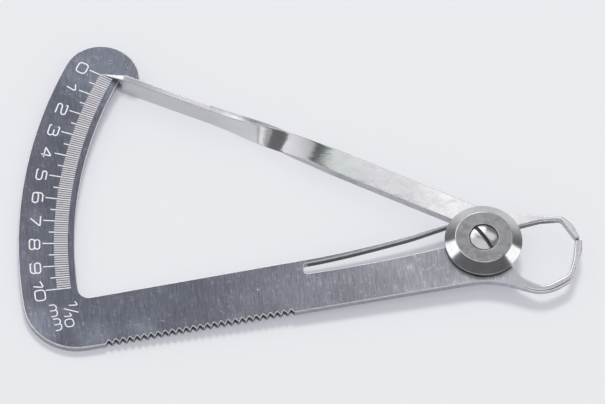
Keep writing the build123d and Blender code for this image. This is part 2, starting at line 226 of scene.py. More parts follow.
class FinishColours(bpy.types.PropertyGroup):
    """Colours of the steel finishes"""

    frame: colour("Frame steel", "Satin face of the frame at the plate", (0.119, 0.127, 0.156))
    # The frame jaw colour ends the frame face's tone along X, whose brightening is partly polish and partly a
    # painted reflection
    frame_jaw: colour("Frame jaw", "Brighter, polished face of the frame at the jaw", (0.53, 0.53, 0.56))
    frame_light: colour("Frame light", "Lighter scuffs and scratches of the frame", (0.42, 0.43, 0.47))
    frame_side: colour("Frame side", "Edges of the frame", (0.60, 0.60, 0.64))
    arm: colour("Arm steel", "Bright steel of the pointer arm", (0.64, 0.64, 0.66))
    cap: colour("Cap steel", "Turned steel of the cap and screw", (0.62, 0.625, 0.635))
    mark: colour("Engraving", "Bright metal of the long marks and numbers", (0.86, 0.86, 0.90))
    fine_mark: colour("Fine engraving", "Duller, warm metal of the tenth marks", (0.62, 0.60, 0.62))
    floor: colour("Floor", "Pale floor", (0.83, 0.838, 0.871))
    floor_shade: colour("Floor shade", "Tint of the floor where it is shaded", (0.78, 0.80, 0.93))


class StageSizes(bpy.types.PropertyGroup):
    """Camera and floor"""

    focal: FloatProperty(name="Focal length", description="Lens in picture widths", default=6000 / 605)
    tilt: angle("Tilt", "How far the camera looks down", 60.966)
    roll: angle("Roll", "Turn of the camera about its own axis", 4.019)
    turn: angle("Turn", "Turn of the caliper under the camera", 7.01)
    distance: length("Distance", "From the camera to the pivot on the plate's face", 1069.2)
    pivot_right: FloatProperty(
        name="Pivot right", description="Pivot right of the middle, in picture widths", default=180.78 / 605
    )
    pivot_down: FloatProperty(
        name="Pivot down", description="Pivot below the middle, in picture widths", default=40.31 / 605
    )
    floor_size: length("Floor size", "Side of the square floor", 6000)
    floor_lit: FloatProperty(
        name="Floor lit", description="Share of the floor's brightness that shadows take away", default=0.65
    )


def polar(radius, direction):
    """Plan point at a radius and direction from the pivot."""
    return radius * np.array((cos(direction), sin(direction)))


def beside(direction, along, aside):
    """Plan point at a distance along a direction from the pivot, and at an offset to its right."""
    return polar(along, direction) + polar(aside, direction - pi / 2)


def towards(way):
    """Direction angle of a plan vector."""
    return atan2(way[1], way[0])


def unit(way):
    """Vector of length one along another."""
    return way / np.linalg.norm(way)


def spokes(angles):
    """Plan vectors of length one at angles, in rows."""
    return np.stack((np.cos(angles), np.sin(angles)), axis=1)


def lefts(steps):
    """Plan vectors of length one to the left of steps, in rows."""
    ahead = steps / np.linalg.norm(steps, axis=1, keepdims=True)
    return np.stack((-ahead[:, 1], ahead[:, 0]), axis=1)


class Arc(NamedTuple):
    """Stretch of a circle between two angles; it turns left where the angle grows."""

    centre: np.ndarray
    radius: float
    start: float
    end: float


class Spot(NamedTuple):
    """Single outline point at a seam, with the direction that its edge faces."""

    point: np.ndarray
    facing: float


def arc_between(centre, radius, first, last, turn):
    """Arc about a centre from one point's direction to another's, leftwards where turn is positive."""
    start = towards(first - centre)
    sweep = (towards(last - centre) - start) % (2 * pi)
    if turn < 0:
        sweep -= 2 * pi
    return Arc(centre, radius, start, start + sweep)


def corner_arc(before, corner, after, radius):
    """Arc that rounds a corner: it touches both sides, at radius / tan(half the corner) from the corner."""
    back = unit(before - corner)
    ahead = unit(after - corner)
    half = np.arccos(np.clip(back @ ahead, -1, 1)) / 2
    centre = corner + unit(back + ahead) * radius / sin(half)
    reach = radius / tan(half)
    turn = back[1] * ahead[0] - back[0] * ahead[1]
    return arc_between(centre, radius, corner + back * reach, corner + ahead * reach, turn)


def rounded_chain(first, corners, last):
    """Arcs that round the corners of a chain of straight edges, each corner given as x, y and radius."""
    points = [np.asarray(first), *(np.array(corner[:2]) for corner in corners), np.asarray(last)]
    return [
        corner_arc(points[index], points[index + 1], points[index + 2], corner[2])
        for index, corner in enumerate(corners)
    ]


def circle_round(start, end, centre, radius, offset, inside, leaving):
    """Arc that rounds the way from a straight edge onto a circle, or off it onto the edge where it's
    leaving. Its centre lies offset to the left of the edge, and as far inside or outside the circle. Also
    returns where it touches the circle."""
    way = unit(end - start)
    left = np.array((-way[1], way[0]))
    reach = radius - abs(offset) if inside else radius + abs(offset)
    base = start + left * offset - centre
    middle = -(base @ way)
    half = sqrt(middle**2 - base @ base + reach**2)
    spot = centre + base + way * (middle + half if inside != leaving else middle - half)
    foot, touch = spot - left * offset, centre + unit(spot - centre) * radius
    ends = (touch, foot) if leaving else (foot, touch)
    return arc_between(spot, abs(offset), *ends, offset), touch


def outline(items, step=1.2 * MM, widest=radians(14)):
    """Closed outline along arcs and spots, joined by straight edges. Each arc is centre + radius (cos, sin),
    cut into equal steps. Returns the points, the way each faces, and how far its edge may draw in."""
    points, ways, limits = [], [], []
    for item in items:
        if isinstance(item, Spot):
            points.append([item.point])
            ways.append([(cos(item.facing), sin(item.facing))])
            limits.append([np.inf])
            continue
        sweep = item.end - item.start
        count = 2 + ceil(max(abs(sweep) / widest, abs(sweep) * item.radius / step))
        angles = np.linspace(item.start, item.end, count)
        if abs(abs(sweep) - 2 * pi) < 1e-6:
            angles = angles[:-1]
        points.append(item.centre + item.radius * spokes(angles))
        ways.append(np.sign(sweep) * spokes(angles))
        limits.append(np.full(len(angles), item.radius if sweep > 0 else np.inf))
    return np.concatenate(points), np.concatenate(ways), np.concatenate(limits)


class Shape(NamedTuple):
    """Vertices, their normals, faces and the kind of surface that each face is."""

    vertices: np.ndarray
    normals: np.ndarray
    faces: list
    kinds: list


def joined(shapes):
    """Several shapes as one, each one's faces counted on from the vertices before it."""
    starts = np.cumsum([0] + [len(shape.vertices) for shape in shapes[:-1]])
    faces = [
        [start + corner for corner in face] for start, shape in zip(starts, shapes) for face in shape.faces
    ]
    return Shape(
        np.concatenate([shape.vertices for shape in shapes]),
        np.concatenate([shape.normals for shape in shapes]),
        faces,
        [kind for shape in shapes for kind in shape.kinds],
    )


def grid_faces(rows, columns, wrap_columns, wrap_rows=False):
    """Quads of a grid with its vertices in rows, which closes on itself along columns or rows if asked."""
    across = np.arange(columns if wrap_columns else columns - 1)
    down = np.arange(rows if wrap_rows else rows - 1)
    row, column = np.meshgrid(down, across, indexing="ij")
    next_row = (row + 1) % rows
    next_column = (column + 1) % columns
    quads = np.stack(
        (
            row * columns + column,
            row * columns + next_column,
            next_row * columns + next_column,
            next_row * columns + column,
        ),
        axis=-1,
    )
    return quads.reshape(-1, 4)


def filled(loops, upwards):
    """Triangles that fill a flat outline less its holes, facing up or down."""
    flat = np.concatenate(loops)
    triangles = np.array(tessellate_polygon([np.c_[loop, np.zeros(len(loop))].tolist() for loop in loops]))
    a, b, c = (flat[triangles[:, corner]] for corner in range(3))
    area = (b[:, 0] - a[:, 0]) * (c[:, 1] - a[:, 1]) - (b[:, 1] - a[:, 1]) * (c[:, 0] - a[:, 0])
    wrong = area < 0 if upwards else area > 0
    triangles[wrong] = triangles[wrong][:, ::-1]
    return triangles[area != 0]


def jaw_growth(softness, start=4.5 * MM, end=9 * MM):
    """How much an edge's round grows at a point: from one before the jaw to the softness along it."""

    def growth(points):
        share = np.clip((points[:, 0] - start) / (end - start), 0, 1)
        return 1 + (softness - 1) * share**2 * (3 - 2 * share)

    return growth


def sheet(loops, low, high, low_round, high_round, growth=None, steps=4):
    """Flat sheet: each outline is carried up through a profile of insets and heights. The profile is a
    quarter circle from the lower face to the wall, the wall, and a quarter circle to the upper face. The
    growth scales both rounds from point to point."""
    turns = np.linspace(0, pi / 2, steps + 1)
    lower = turns if low_round > 0 else turns[-1:]
    upper = turns[::-1] if high_round > 0 else turns[-1:]
    insets = np.concatenate((low_round * (1 - np.sin(lower)), high_round * (1 - np.sin(upper))))
    levels = np.concatenate((np.full(len(lower), low), np.full(len(upper), high)))
    rises = np.concatenate((low_round * (1 - np.cos(lower)), -high_round * (1 - np.cos(upper))))
    outward = np.concatenate((np.sin(lower), np.sin(upper)))
    upward = np.concatenate((-np.cos(lower), np.cos(upper)))
    rings = len(insets)
    wall = len(lower) - 1
    vertices, normals, faces, kinds = [], [], [], []
    low_rings, high_rings, low_starts, high_starts = [], [], [], []
    start = 0
    for points, ways, limits in loops:
        grown = growth(points)[None] if growth else np.ones((1, len(points)))
        draw = np.minimum(insets[:, None] * grown, DRAW_SHARE * limits[None])
        plan = points[None] - ways[None] * draw[..., None]
        tall = (levels[:, None] + rises[:, None] * grown)[..., None]
        vertices.append(np.concatenate((plan, tall), axis=2).reshape(-1, 3))
        level = np.broadcast_to(upward[:, None, None], (rings, len(points), 1))
        normals.append(np.concatenate((ways[None] * outward[:, None, None], level), axis=2).reshape(-1, 3))
        quads = grid_faces(rings, len(points), True) + start
        faces.extend(quads.tolist())
        ring_kinds = np.full(rings - 1, RIM)
        ring_kinds[wall] = SIDE
        kinds.extend(np.repeat(ring_kinds, len(points)).tolist())
        low_rings.append(plan[0])
        high_rings.append(plan[-1])
        low_starts.append(start + np.arange(len(points)))
        start += rings * len(points)
        high_starts.append(start - len(points) + np.arange(len(points)))
    for rims, indices, upwards in ((low_rings, low_starts, False), (high_rings, high_starts, True)):
        triangles = np.concatenate(indices)[filled(rims, upwards)]
        faces.extend(triangles.tolist())
        kinds.extend([FACE] * len(triangles))
    return Shape(np.concatenate(vertices), np.concatenate(normals), faces, kinds)


def grid_normals(grid):
    """Normals of a grid of points that closes on itself along its rows: each is square to the way round
    and to the way on."""
    around = np.roll(grid, -1, axis=1) - np.roll(grid, 1, axis=1)
    normals = np.cross(around, np.gradient(grid, axis=0))
    return normals / np.maximum(np.linalg.norm(normals, axis=2, keepdims=True), 1e-12)


def swept(middles, width_ways, depth_ways, widths, depths, corner_round, steps=3, flats=6):
    """Strip carried along a path: at each station a rounded rectangle of that width and depth stands on its
    two ways. Its edge points are half size less the round, plus the round's cosine and sine."""
    round_share = 0.45
    rounds = np.minimum(corner_round, round_share * np.minimum(widths, depths))[:, None]
    turns = np.linspace(0, pi / 2, steps + 1)
    ease = (1 - np.cos(np.linspace(0, pi, flats + 2)[1:-1])) / 2
    reaches, ways, kinds = [], [], []
    for quarter in range(4):
        start = quarter * pi / 2
        side, following = np.sign(spokes(start + np.array((pi / 4, 3 * pi / 4))))
        reaches += [side] * len(turns) + [(1 - share) * side + share * following for share in ease]
        ways.append(spokes(start + np.array((*turns, *[pi / 2] * flats))))
        kinds += [RIM] * steps + [(FACE, SIDE)[quarter % 2]] * (flats + 1)
    across, along = np.transpose(reaches)
    cosine, sine = np.concatenate(ways).T
    across = (across * (widths[:, None] / 2 - rounds) + rounds * cosine)[..., None]
    along = (along * (depths[:, None] / 2 - rounds) + rounds * sine)[..., None]
    grid = middles[:, None] + across * width_ways[:, None] + along * depth_ways[:, None]
    rows, columns = grid.shape[:2]
    normals = grid_normals(grid)
    inward = np.einsum("ijk,ijk->ij", normals, grid - middles[:, None]) < 0
    normals[inward] *= -1
    inside_out = inward.mean() > 0.5
    quads = grid_faces(rows, columns, True)
    quads = quads[:, ::-1] if inside_out else quads
    ends = [list(range(columns)), list(range((rows - 1) * columns, rows * columns))]
    ends[1 if inside_out else 0].reverse()
    faces = quads.tolist() + ends
    return Shape(grid.reshape(-1, 3), normals.reshape(-1, 3), faces, kinds * (rows - 1) + [SIDE] * 2)


def turned(points, ways, solid=False, count=160):
    """Profile of radii and heights turned about the pivot: each vertex is (r cos, r sin, z). A solid
    piece starts and ends at the axis, where a small flat disc closes it."""
    around = spokes(np.arange(count) * 2 * pi / count)[None]
    ring = points[:, None, :1] * around
    tall = np.broadcast_to(points[:, None, 1:], (len(points), count, 1))
    vertices = np.concatenate((ring, tall), axis=2)
    level = np.broadcast_to(ways[:, None, 1:], (len(points), count, 1))
    normals = np.concatenate((ways[:, None, :1] * around, level), axis=2)
    level = ways[:, 1] > 0.99
    kinds = np.where(level & np.roll(level, -1), FACE, RIM)
    faces = grid_faces(len(points), count, True, not solid).tolist()
    kinds = np.repeat(kinds, count)[: len(faces)].tolist()
    if solid:
        last = (len(points) - 1) * count
        faces += [list(range(count))[::-1], list(range(last, last + count))]
        kinds += [RIM, FACE]
    return Shape(vertices.reshape(-1, 3), normals.reshape(-1, 3), faces, kinds)


def turned_profile(corners, solid=False):
    """Profile of a turned piece from its corners in order, each as radius, height and round. A solid
    piece's first and last corners are the rims of its discs at the axis, one below and one above."""
    if solid:
        bottom, top = corners[0][:2], corners[-1][:2]
        chain = rounded_chain(bottom, corners[1:-1], top)
        items = [Spot(np.array(bottom), -pi / 2), *chain, Spot(np.array(top), pi / 2)]
    else:
        items = rounded_chain(corners[-1][:2], corners, corners[0][:2])
    return outline(items, step=0.4 * MM)[:2]


def raised(points, width, low, high, closed):
    """Flat stroke along a path: each path point moved half the width to both sides, at two heights."""
    around = np.roll(points, -1, axis=0) - np.roll(points, 1, axis=0)
    side = lefts(around if closed else np.gradient(points, axis=0)) * width / 2
    plan = np.stack((points + side, points - side, points - side, points + side), axis=1)
    tall = np.broadcast_to(np.array((high, high, low, low))[None, :, None], (len(points), 4, 1))
    vertices = np.concatenate((plan, tall), axis=2).reshape(-1, 3)
    normals = np.zeros_like(vertices)
    normals[:, 2] = 1
    faces = grid_faces(len(points), 4, True, closed).tolist()
    if not closed:
        last = 4 * (len(points) - 1)
        faces += [[3, 2, 1, 0], [last, last + 1, last + 2, last + 3]]
    return Shape(vertices, normals, faces, [FACE] * len(faces))


def make_piece(name, shape, materials, body, nodes, smooth=True):
    """Puts a shape into a mesh object that rides on a body and stands for its nodes."""
    mesh = bpy.data.meshes.new(name)
    mesh.from_pydata(shape.vertices.tolist(), [], shape.faces)
    for material in materials:
        mesh.materials.append(material)
    kinds = np.minimum(shape.kinds, len(materials) - 1)
    mesh.polygons.foreach_set("material_index", kinds.astype(np.int32))
    mesh.polygons.foreach_set("use_smooth", np.full(len(shape.faces), smooth))
    if smooth:
        mesh.normals_split_custom_set_from_vertices(shape.normals.tolist())
    mesh.validate(clean_customdata=False)
    piece = bpy.data.objects.new(name, mesh)
    bpy.context.scene.collection.objects.link(piece)
    if body:
        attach(piece, body)
    if nodes:
        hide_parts(*nodes)
    return piece


def read_all(items, label, kind=np.int32, width=1):
    """One property of all vertices, corners or faces of a mesh."""
    values = np.empty(len(items) * width, kind)
    items.foreach_get(label, values)
    return values


def around_uv(piece):
    """Gives a turned piece a UV map: U is the share of a turn about the pivot, V the radius and height."""
    mesh = piece.data
    places = read_all(mesh.vertices, "co", float, 3).reshape(-1, 3)
    corners = read_all(mesh.loops, "vertex_index")
    starts = read_all(mesh.polygons, "loop_start")
    totals = read_all(mesh.polygons, "loop_total")
    turn = np.arctan2(places[corners, 1], places[corners, 0]) / (2 * pi) % 1
    first = np.repeat(turn[starts], totals)
    turn += np.round(first - turn)
    height = 10 * MM
    up = (np.hypot(places[corners, 0], places[corners, 1]) + places[corners, 2]) / height
    mesh.uv_layers.new(name="around").data.foreach_set("uv", np.stack((turn, up), axis=1).ravel())


def make_turned(name, shape, materials, node):
    """Puts a turned shape on the frame, with the UV map that its sheen follows."""
    around_uv(make_piece(name, shape, materials, "frame", [node]))


def edge_height(x, y, slope, at):
    """Height of a straight edge through a point."""
    return y + tan(slope) * (at - x)


def notch_corners(body):
    """Corners of the serration along the low edge, from the plate towards the pivot."""
    along = polar(1, body.low_slope)
    inward = polar(1, body.low_slope + pi / 2)
    corners = []
    for notch in reversed(range(body.teeth)):
        x = body.last_notch - notch * body.pitch * cos(body.low_slope)
        foot = np.array((x, edge_height(body.low_x, body.low_y, body.low_slope, x)))
        corners.append((*(foot - along * body.mouth / 2), body.crest_round))
        corners.append((*(foot + inward * body.depth), body.notch_round))
        corners.append((*(foot + along * body.mouth / 2), body.crest_round))
    return corners


def with_notches(shape, body):
    """The shape with the walls inside its notches told apart: their middles lie inside the low edge."""
    kinds = np.array(shape.kinds)
    walls = np.flatnonzero(kinds == SIDE)
    middles = shape.vertices[np.array([shape.faces[wall] for wall in walls])].mean(axis=1)
    inside = (middles[:, :2] - (body.low_x, body.low_y)) @ polar(1, body.low_slope + pi / 2)
    left = body.last_notch - (body.teeth - 0.5) * body.pitch
    right = body.last_notch + body.pitch / 2
    notched = (inside > 0.05 * MM) & (inside < body.depth) & (middles[:, 0] > left) & (middles[:, 0] < right)
    kinds[walls[notched]] = EDGE
    return shape._replace(kinds=kinds.tolist())


def with_jaw(shape, start):
    """The shape with the rims of its jaw, beyond a place on X, told apart."""
    kinds = np.array(shape.kinds)
    rims = np.flatnonzero(kinds == RIM)
    places = shape.vertices[[shape.faces[rim][0] for rim in rims], 0]
    kinds[rims[places > start]] = JAW
    return shape._replace(kinds=kinds.tolist())


def in_metres(rows):
    """Rows of millimetres as rows of metres."""
    return [tuple(MM * value for value in row) for row in rows]


def frame_outline(plate, body, arm, lug):
    """Outline of the frame. At the lug's level it goes round the lug, above it round the recess."""
    tip_round = 0.3 * MM
    half_gap = 0.05 * MM
    meeting_x = 16.42 * MM
    hub_point = np.array((2.2, -1.0)) * MM
    slot_exit = np.array((-6.2, -0.45)) * MM
    slot_sag = 0.3 * MM
    slot_arc = 250 * MM
    hub_round = 0.3 * MM
    head_angle = plate.scale_zero + plate.head_lead
    head_centre = polar(plate.outer_radius - plate.head_round, head_angle)
    head_side = arm.blade_offset + arm.blade_thickness / 2 + plate.head_play
    head_far = beside(arm.blade_direction, plate.outer_radius, head_side)
    head_near = beside(arm.blade_direction, 0, head_side)
    low_right = np.array((body.low_x, body.low_y))
    low_left = low_right + polar(FAR, body.low_slope + pi)
    corner, outer_end = circle_round(
        low_left, low_right, PIVOT, plate.outer_radius, plate.corner_round, True, True
    )
    outer = Arc(PIVOT, plate.outer_radius, head_angle, towards(outer_end) % (2 * pi))
    jaw = [
        *in_metres(LOWER_JAW_OUTER),
        (FRAME_HIGH.x, -half_gap, tip_round),
        (meeting_x, -half_gap, tip_round),
        *in_metres(LOWER_JAW_INNER),
    ]
    low_chain = rounded_chain(low_left, notch_corners(body) + jaw, hub_point)
    radius = arm.lap_radius if lug else arm.lap_radius + arm.lap_play
    side = -1 if lug else 1
    jaw_root = np.array(jaw[-1][:2])
    offset = side * hub_round
    entry, hub_start = circle_round(jaw_root, hub_point, PIVOT, radius, offset, False, False)
    leave, hub_end = circle_round(hub_point, slot_exit, PIVOT, radius, offset, False, True)
    hub = [entry, arc_between(PIVOT, radius, hub_start, hub_end, -side), leave]
    root_top = edge_height(body.top_x, body.top_y, body.top_slope, body.leaf_root)
    slot_top = root_top - body.leaf_root_width
    slot_low = slot_top - body.slot_width
    slot_bend = ((body.slot_end + slot_exit[0]) / 2, (slot_low + slot_exit[1]) / 2 - 2 * slot_sag)
    seam_low = np.array((body.leaf_root, slot_top))
    seam_top = np.array((body.leaf_root, root_top))
    slot = rounded_chain(
        hub_point,
        [
            (*slot_exit, 2 * body.slot_round),
            (*slot_bend, slot_arc),
            (body.slot_end, slot_low, body.slot_round),
            (body.slot_end, slot_top, body.slot_round),
        ],
        seam_low,
    )
    top_left = seam_top + polar(FAR, body.top_slope + pi)
    window, inner_start = circle_round(
        seam_top, top_left, PIVOT, plate.inner_radius, -plate.window_round, True, False
    )
    foot, inner_end = circle_round(
        head_far, head_near, PIVOT, plate.inner_radius, -plate.head_corner_round, True, True
    )
    shoulder, head_start = circle_round(
        head_far, head_near, head_centre, plate.head_round, plate.head_corner_round, True, False
    )
    inner = arc_between(PIVOT, plate.inner_radius, inner_start, inner_end, -1)
    head = arc_between(head_centre, plate.head_round, head_start, polar(1, head_angle) + head_centre, 1)
    seam = [Spot(seam_low, -pi / 2), Spot(seam_top, body.top_slope + pi / 2)]
    return outline([outer, corner, *low_chain, *hub, *slot, *seam, window, inner, foot, shoulder, head])


def circle_loop(radius, hole):
    """Closed circle about the pivot, as a hole or as an outline."""
    ends = (2 * pi, 0) if hole else (0, 2 * pi)
    return outline([Arc(PIVOT, radius, *ends)], step=0.3 * MM)


def leaf_outline(body, arm):
    """Outline of the spring leaf: two edges, each of two cubic stretches through a bend, and a round nose."""
    tip_x = -5.1 * MM
    tip_play = 0.2 * MM
    bend = np.array((-14.4, 1.6)) * MM
    slopes = (body.top_slope, radians(14), radians(15))
    nose = body.leaf_tip_width / 2
    tip_y = (arm.bar_near - tip_play - nose - sin(arm.bar_direction) * tip_x) / -cos(arm.bar_direction)
    tip = np.array((tip_x, tip_y))
    across = polar(nose, slopes[2] + pi / 2)
    root_y = edge_height(body.top_x, body.top_y, body.top_slope, body.leaf_root)
    root_top = np.array((body.leaf_root, root_y))
    root_low = root_top - (0, body.leaf_root_width)
    bend_low = bend - (0, (body.leaf_root_width + body.leaf_tip_width) / 2)
    tip_draw = 0.45 * body.leaf_tip_width
    edge_points, nose_points = 26, 14
    shares = np.linspace(0, 1, edge_points)[:, None]

    def stretch(start, end, start_slope, end_slope):
        """Cubic between two points, with tangents as long as the way between them."""
        span = np.linalg.norm(end - start)
        square, cube = shares**2, shares**3
        return (
            (2 * cube - 3 * square + 1) * start
            + (cube - 2 * square + shares) * polar(span, start_slope)
            + (3 * square - 2 * cube) * end
            + (cube - square) * polar(span, end_slope)
        )

    def edge(start, middle, end, offset):
        """Points of one long edge with the ways that they face."""
        points = np.concatenate((stretch(start, middle, *slopes[:2])[:-1], stretch(middle, end, *slopes[1:])))
        return points, offset * lefts(np.gradient(points, axis=0))

    low_points, low_ways = edge(root_low, bend_low, tip - across, -1)
    top_points, top_ways = edge(root_top, bend, tip + across, 1)
    nose_ways = spokes(np.linspace(slopes[2] - pi / 2, slopes[2] + pi / 2, nose_points)[1:-1])
    points = np.concatenate((low_points, tip + nose * nose_ways, top_points[::-1]))
    ways = np.concatenate((low_ways, nose_ways, top_ways[::-1]))
    return points, ways, np.full(len(points), tip_draw)


def arm_outlines(arm):
    """Outlines of the arm's flat part: above the lap round its lug, and below the lap for bar and jaw."""
    tip_round = 0.3 * MM
    half_gap = 0.05 * MM
    meeting_x = 16.4 * MM
    fillet = 0.3 * MM
    shoulder_round = 1.0 * MM
    neck_round = 1.5 * MM
    neck_x = 4.6 * MM
    neck = np.array((neck_x, sqrt(arm.hub_radius**2 - neck_x**2)))
    hub_point = np.array((2.8, 2.15)) * MM
    direction = arm.bar_direction
    bar_far = arm.bar_near + arm.bar_width
    far_end = beside(direction, arm.twist_start, bar_far)
    near_end = beside(direction, arm.twist_start, arm.bar_near)
    far_start = beside(direction, 0, bar_far)
    near_start = beside(direction, 0, arm.bar_near)
    seam = [Spot(far_end, direction - pi / 2), Spot(near_end, direction + pi / 2)]
    inner = in_metres(UPPER_JAW_INNER)
    outer = in_metres(UPPER_JAW_OUTER)
    tips = [(meeting_x, half_gap, tip_round), (ARM_HIGH.x, half_gap, tip_round)]
    jaw = rounded_chain(hub_point, inner + tips + outer, neck)
    jaw_root = np.array(inner[0][:2])
    jaw_top = np.array(outer[-1][:2])
    entry, hub_start = circle_round(jaw_top, neck, PIVOT, arm.hub_radius, -neck_round, False, False)
    leave, hub_end = circle_round(far_start, far_end, PIVOT, arm.hub_radius, -shoulder_round, False, True)
    hub_edge = [entry, arc_between(PIVOT, arm.hub_radius, hub_start, hub_end, 1), leave]

    def lug(radius, side):
        """Way round the lug or the recess, between the bar's near edge and the jaw's inner edge."""
        offset = side * fillet
        near, start = circle_round(near_end, near_start, PIVOT, radius, offset, False, False)
        root, end = circle_round(hub_point, jaw_root, PIVOT, radius, offset, False, True)
        return [near, arc_between(PIVOT, radius, start, end, -side), root]

    relief_x = CAP_HIGH.x
    inner_way = unit(jaw_root - hub_point)
    outer_way = unit(neck - jaw_top)
    cut_inner = hub_point + inner_way * (relief_x - hub_point[0]) / inner_way[0]
    cut_outer = jaw_top + outer_way * (relief_x - jaw_top[0]) / outer_way[0]
    inner_spot = Spot(cut_inner, towards(inner_way) - pi / 2)
    outer_spot = Spot(cut_outer, towards(outer_way) - pi / 2)
    upper = outline([*seam, *lug(arm.lap_radius, -1), *jaw, *hub_edge])
    lower_bar = outline([*seam, *lug(arm.lap_radius + arm.lap_play, 1), inner_spot, outer_spot, *hub_edge])
    lower_jaw = outline([inner_spot, *jaw, outer_spot])
    return upper, lower_bar, lower_jaw


def arm_strip(arm, sheet_low):
    """Twisted strip and blade up to the fork: the section turns from flat to upright while its middle
    follows a quadratic curve between the two directions. The turn is 90 degrees times the share, eased
    by a sine."""
    direction = np.array((arm.bar_direction, arm.blade_direction))
    offset = arm.bar_near + arm.bar_width / 2
    bend = direction[1] - direction[0]
    stations = 67
    along = (arm.blade_offset - offset * cos(bend)) / sin(bend)
    twist_end = arm.twist_start + arm.twist_length
    start, turning = (beside(direction[0], reach, offset) for reach in (arm.twist_start, along))
    guides = np.stack((start, turning, beside(direction[1], twist_end, arm.blade_offset)))
    share = np.linspace(0, 1, stations)
    weights = np.stack(((1 - share) ** 2, 2 * share * (1 - share), share**2), axis=1)
    plan = weights @ guides
    heading = direction[0] + share**2 * bend
    turn = pi / 2 * (share - arm.twist_ease * np.sin(2 * pi * share) / (2 * pi))
    blade_height = ARM_HIGH.z - ARM_LOW.z
    width = arm.bar_width + share * (blade_height - arm.bar_width) - 4 * share * (1 - share) * arm.twist_waist
    depth = arm.sheet + share * (arm.blade_thickness - arm.sheet)
    middle = np.c_[plan, np.full(len(share), sheet_low + arm.sheet / 2)]
    right, level, rise = spokes(heading - pi / 2), np.cos(turn)[:, None], np.sin(turn)[:, None]
    width_way = np.concatenate((right * level, rise), axis=1)
    depth_way = np.concatenate((-right * rise, level), axis=1)
    twist = swept(middle, width_way, depth_way, width, depth, arm.edge_round)
    return twist, twist_end


def blade_sweep(arm, stations, low, high, near, far):
    """Upright stretch of the blade: at each station it spans from low to high and from near to far."""
    plan = polar(1, arm.blade_direction)[None] * stations[:, None]
    aside = polar(1, arm.blade_direction - pi / 2)
    centre = plan + aside[None] * ((near + far) / 2)[:, None]
    middle = np.c_[centre, (low + high) / 2]
    upright = np.tile((0.0, 0.0, 1.0), (len(stations), 1))
    across = np.tile((*-aside, 0.0), (len(stations), 1))
    return swept(middle, upright, across, high - low, far - near, arm.edge_round)


def blade_shapes(arm, twist_end, plate_low, plate_high, inner_radius):
    """Blade, pointer and lip. The pointer's roof and floor run straight to its tip, and its sides taper; the
    lip's height follows a quarter ellipse to its end."""
    near = arm.blade_offset - arm.blade_thickness / 2
    far = arm.blade_offset + arm.blade_thickness / 2
    facet_start = arm.tip_reach - arm.facet_length
    edge = sqrt(inner_radius**2 - near**2)
    fork_floor = edge - arm.fork_play
    lip_end = edge + arm.lip_overlap
    fork_low = plate_low - arm.fork_drop
    tip_bottom = plate_high + arm.tip_play
    fork_high = tip_bottom + arm.tip_rise
    low, high = ARM_LOW.z, ARM_HIGH.z
    blade_stations, pointer_stations, lip_stations = 14, 16, 10
    lip_turn = 0.47 * pi  # short of a quarter, so that the lip's end keeps a small face

    def slope(stations, start, end):
        """Straight run of a value from the facet's start to the tip."""
        share = np.clip((stations - facet_start) / arm.facet_length, 0, 1)
        return start + share * (end - start)

    along = np.concatenate((np.linspace(twist_end, facet_start, blade_stations), (fork_floor,)))
    floor, near_side, far_side = (np.full(len(along), value) for value in (low, near, far))
    roof = slope(along, high, tip_bottom + arm.tip_height)
    blade = blade_sweep(arm, along, floor, roof, near_side, far_side)
    blade = blade._replace(kinds=[EDGE if kind == SIDE else kind for kind in blade.kinds])
    along = np.linspace(fork_floor, arm.tip_reach, pointer_stations)
    pointer = blade_sweep(
        arm,
        along,
        slope(along, fork_high, tip_bottom),
        slope(along, high, tip_bottom + arm.tip_height),
        slope(along, near, arm.tip_offset - arm.tip_width / 2),
        slope(along, far, arm.tip_offset + arm.tip_width / 2),
    )
    turns = np.linspace(0, lip_turn, lip_stations)
    along = np.concatenate(((fork_floor,), lip_end + arm.lip_round * (np.sin(turns) - 1)))
    half = np.concatenate(((1.0,), np.cos(turns))) * (fork_low - low) / 2
    middle = (fork_low + low) / 2
    near_side, far_side = (np.full(len(half), value) for value in (near, far))
    lip = blade_sweep(arm, along, middle - half, middle + half, near_side, far_side)
    return [blade, pointer, lip]


# Strokes of the numbers and letters in a unit box, as corner points; a last True closes the stroke
GLYPHS = {
    "0": (((0, 0), (1, 0), (1, 1), (0, 1), True),),
    "1": (((0.47, 0), (0.62, 1), (0, 0.72), False),),
    "2": (((0.02, 0.78), (0.02, 1), (0.98, 1), (0.98, 0.55), (0.03, 0.42), (0, 0), (1, 0), False),),
    "3": (
        ((0.04, 0.8), (0.04, 1), (0.94, 1), (0.94, 0.54), (0.4, 0.54), False),
        ((0.5, 0.54), (1, 0.54), (1, 0), (0, 0), (0, 0.2), False),
    ),
    "4": (((0.74, 0), (0.77, 1), (0, 0.28), (1, 0.28), False),),
    "5": (((0.92, 1), (0.1, 1), (0.06, 0.58), (1, 0.58), (1, 0), (0, 0), (0, 0.16), False),),
    "6": (
        ((0, 0), (1, 0), (1, 0.56), (0, 0.56), True),
        ((0, 0.34), (0, 1), (0.86, 1), False),
    ),
    "7": (((0, 1), (1, 1), (0.26, 0), False),),
    "8": (
        ((0, 0), (1, 0), (1, 0.5), (0, 0.5), True),
        ((0.04, 0.5), (0.96, 0.5), (0.96, 1), (0.04, 1), True),
    ),
    "9": (
        ((0, 0.44), (1, 0.44), (1, 1), (0, 1), True),
        ((1, 0.7), (1, 0), (0.08, 0), (0.06, 0.16), False),
    ),
    "m": (
        ((0, 0), (0, 1), (0.5, 1), (0.5, 0), False),
        ((0.5, 0.6), (0.5, 1), (1, 1), (1, 0), False),
    ),
    "/": (((0, 0), (1, 1), False),),
}


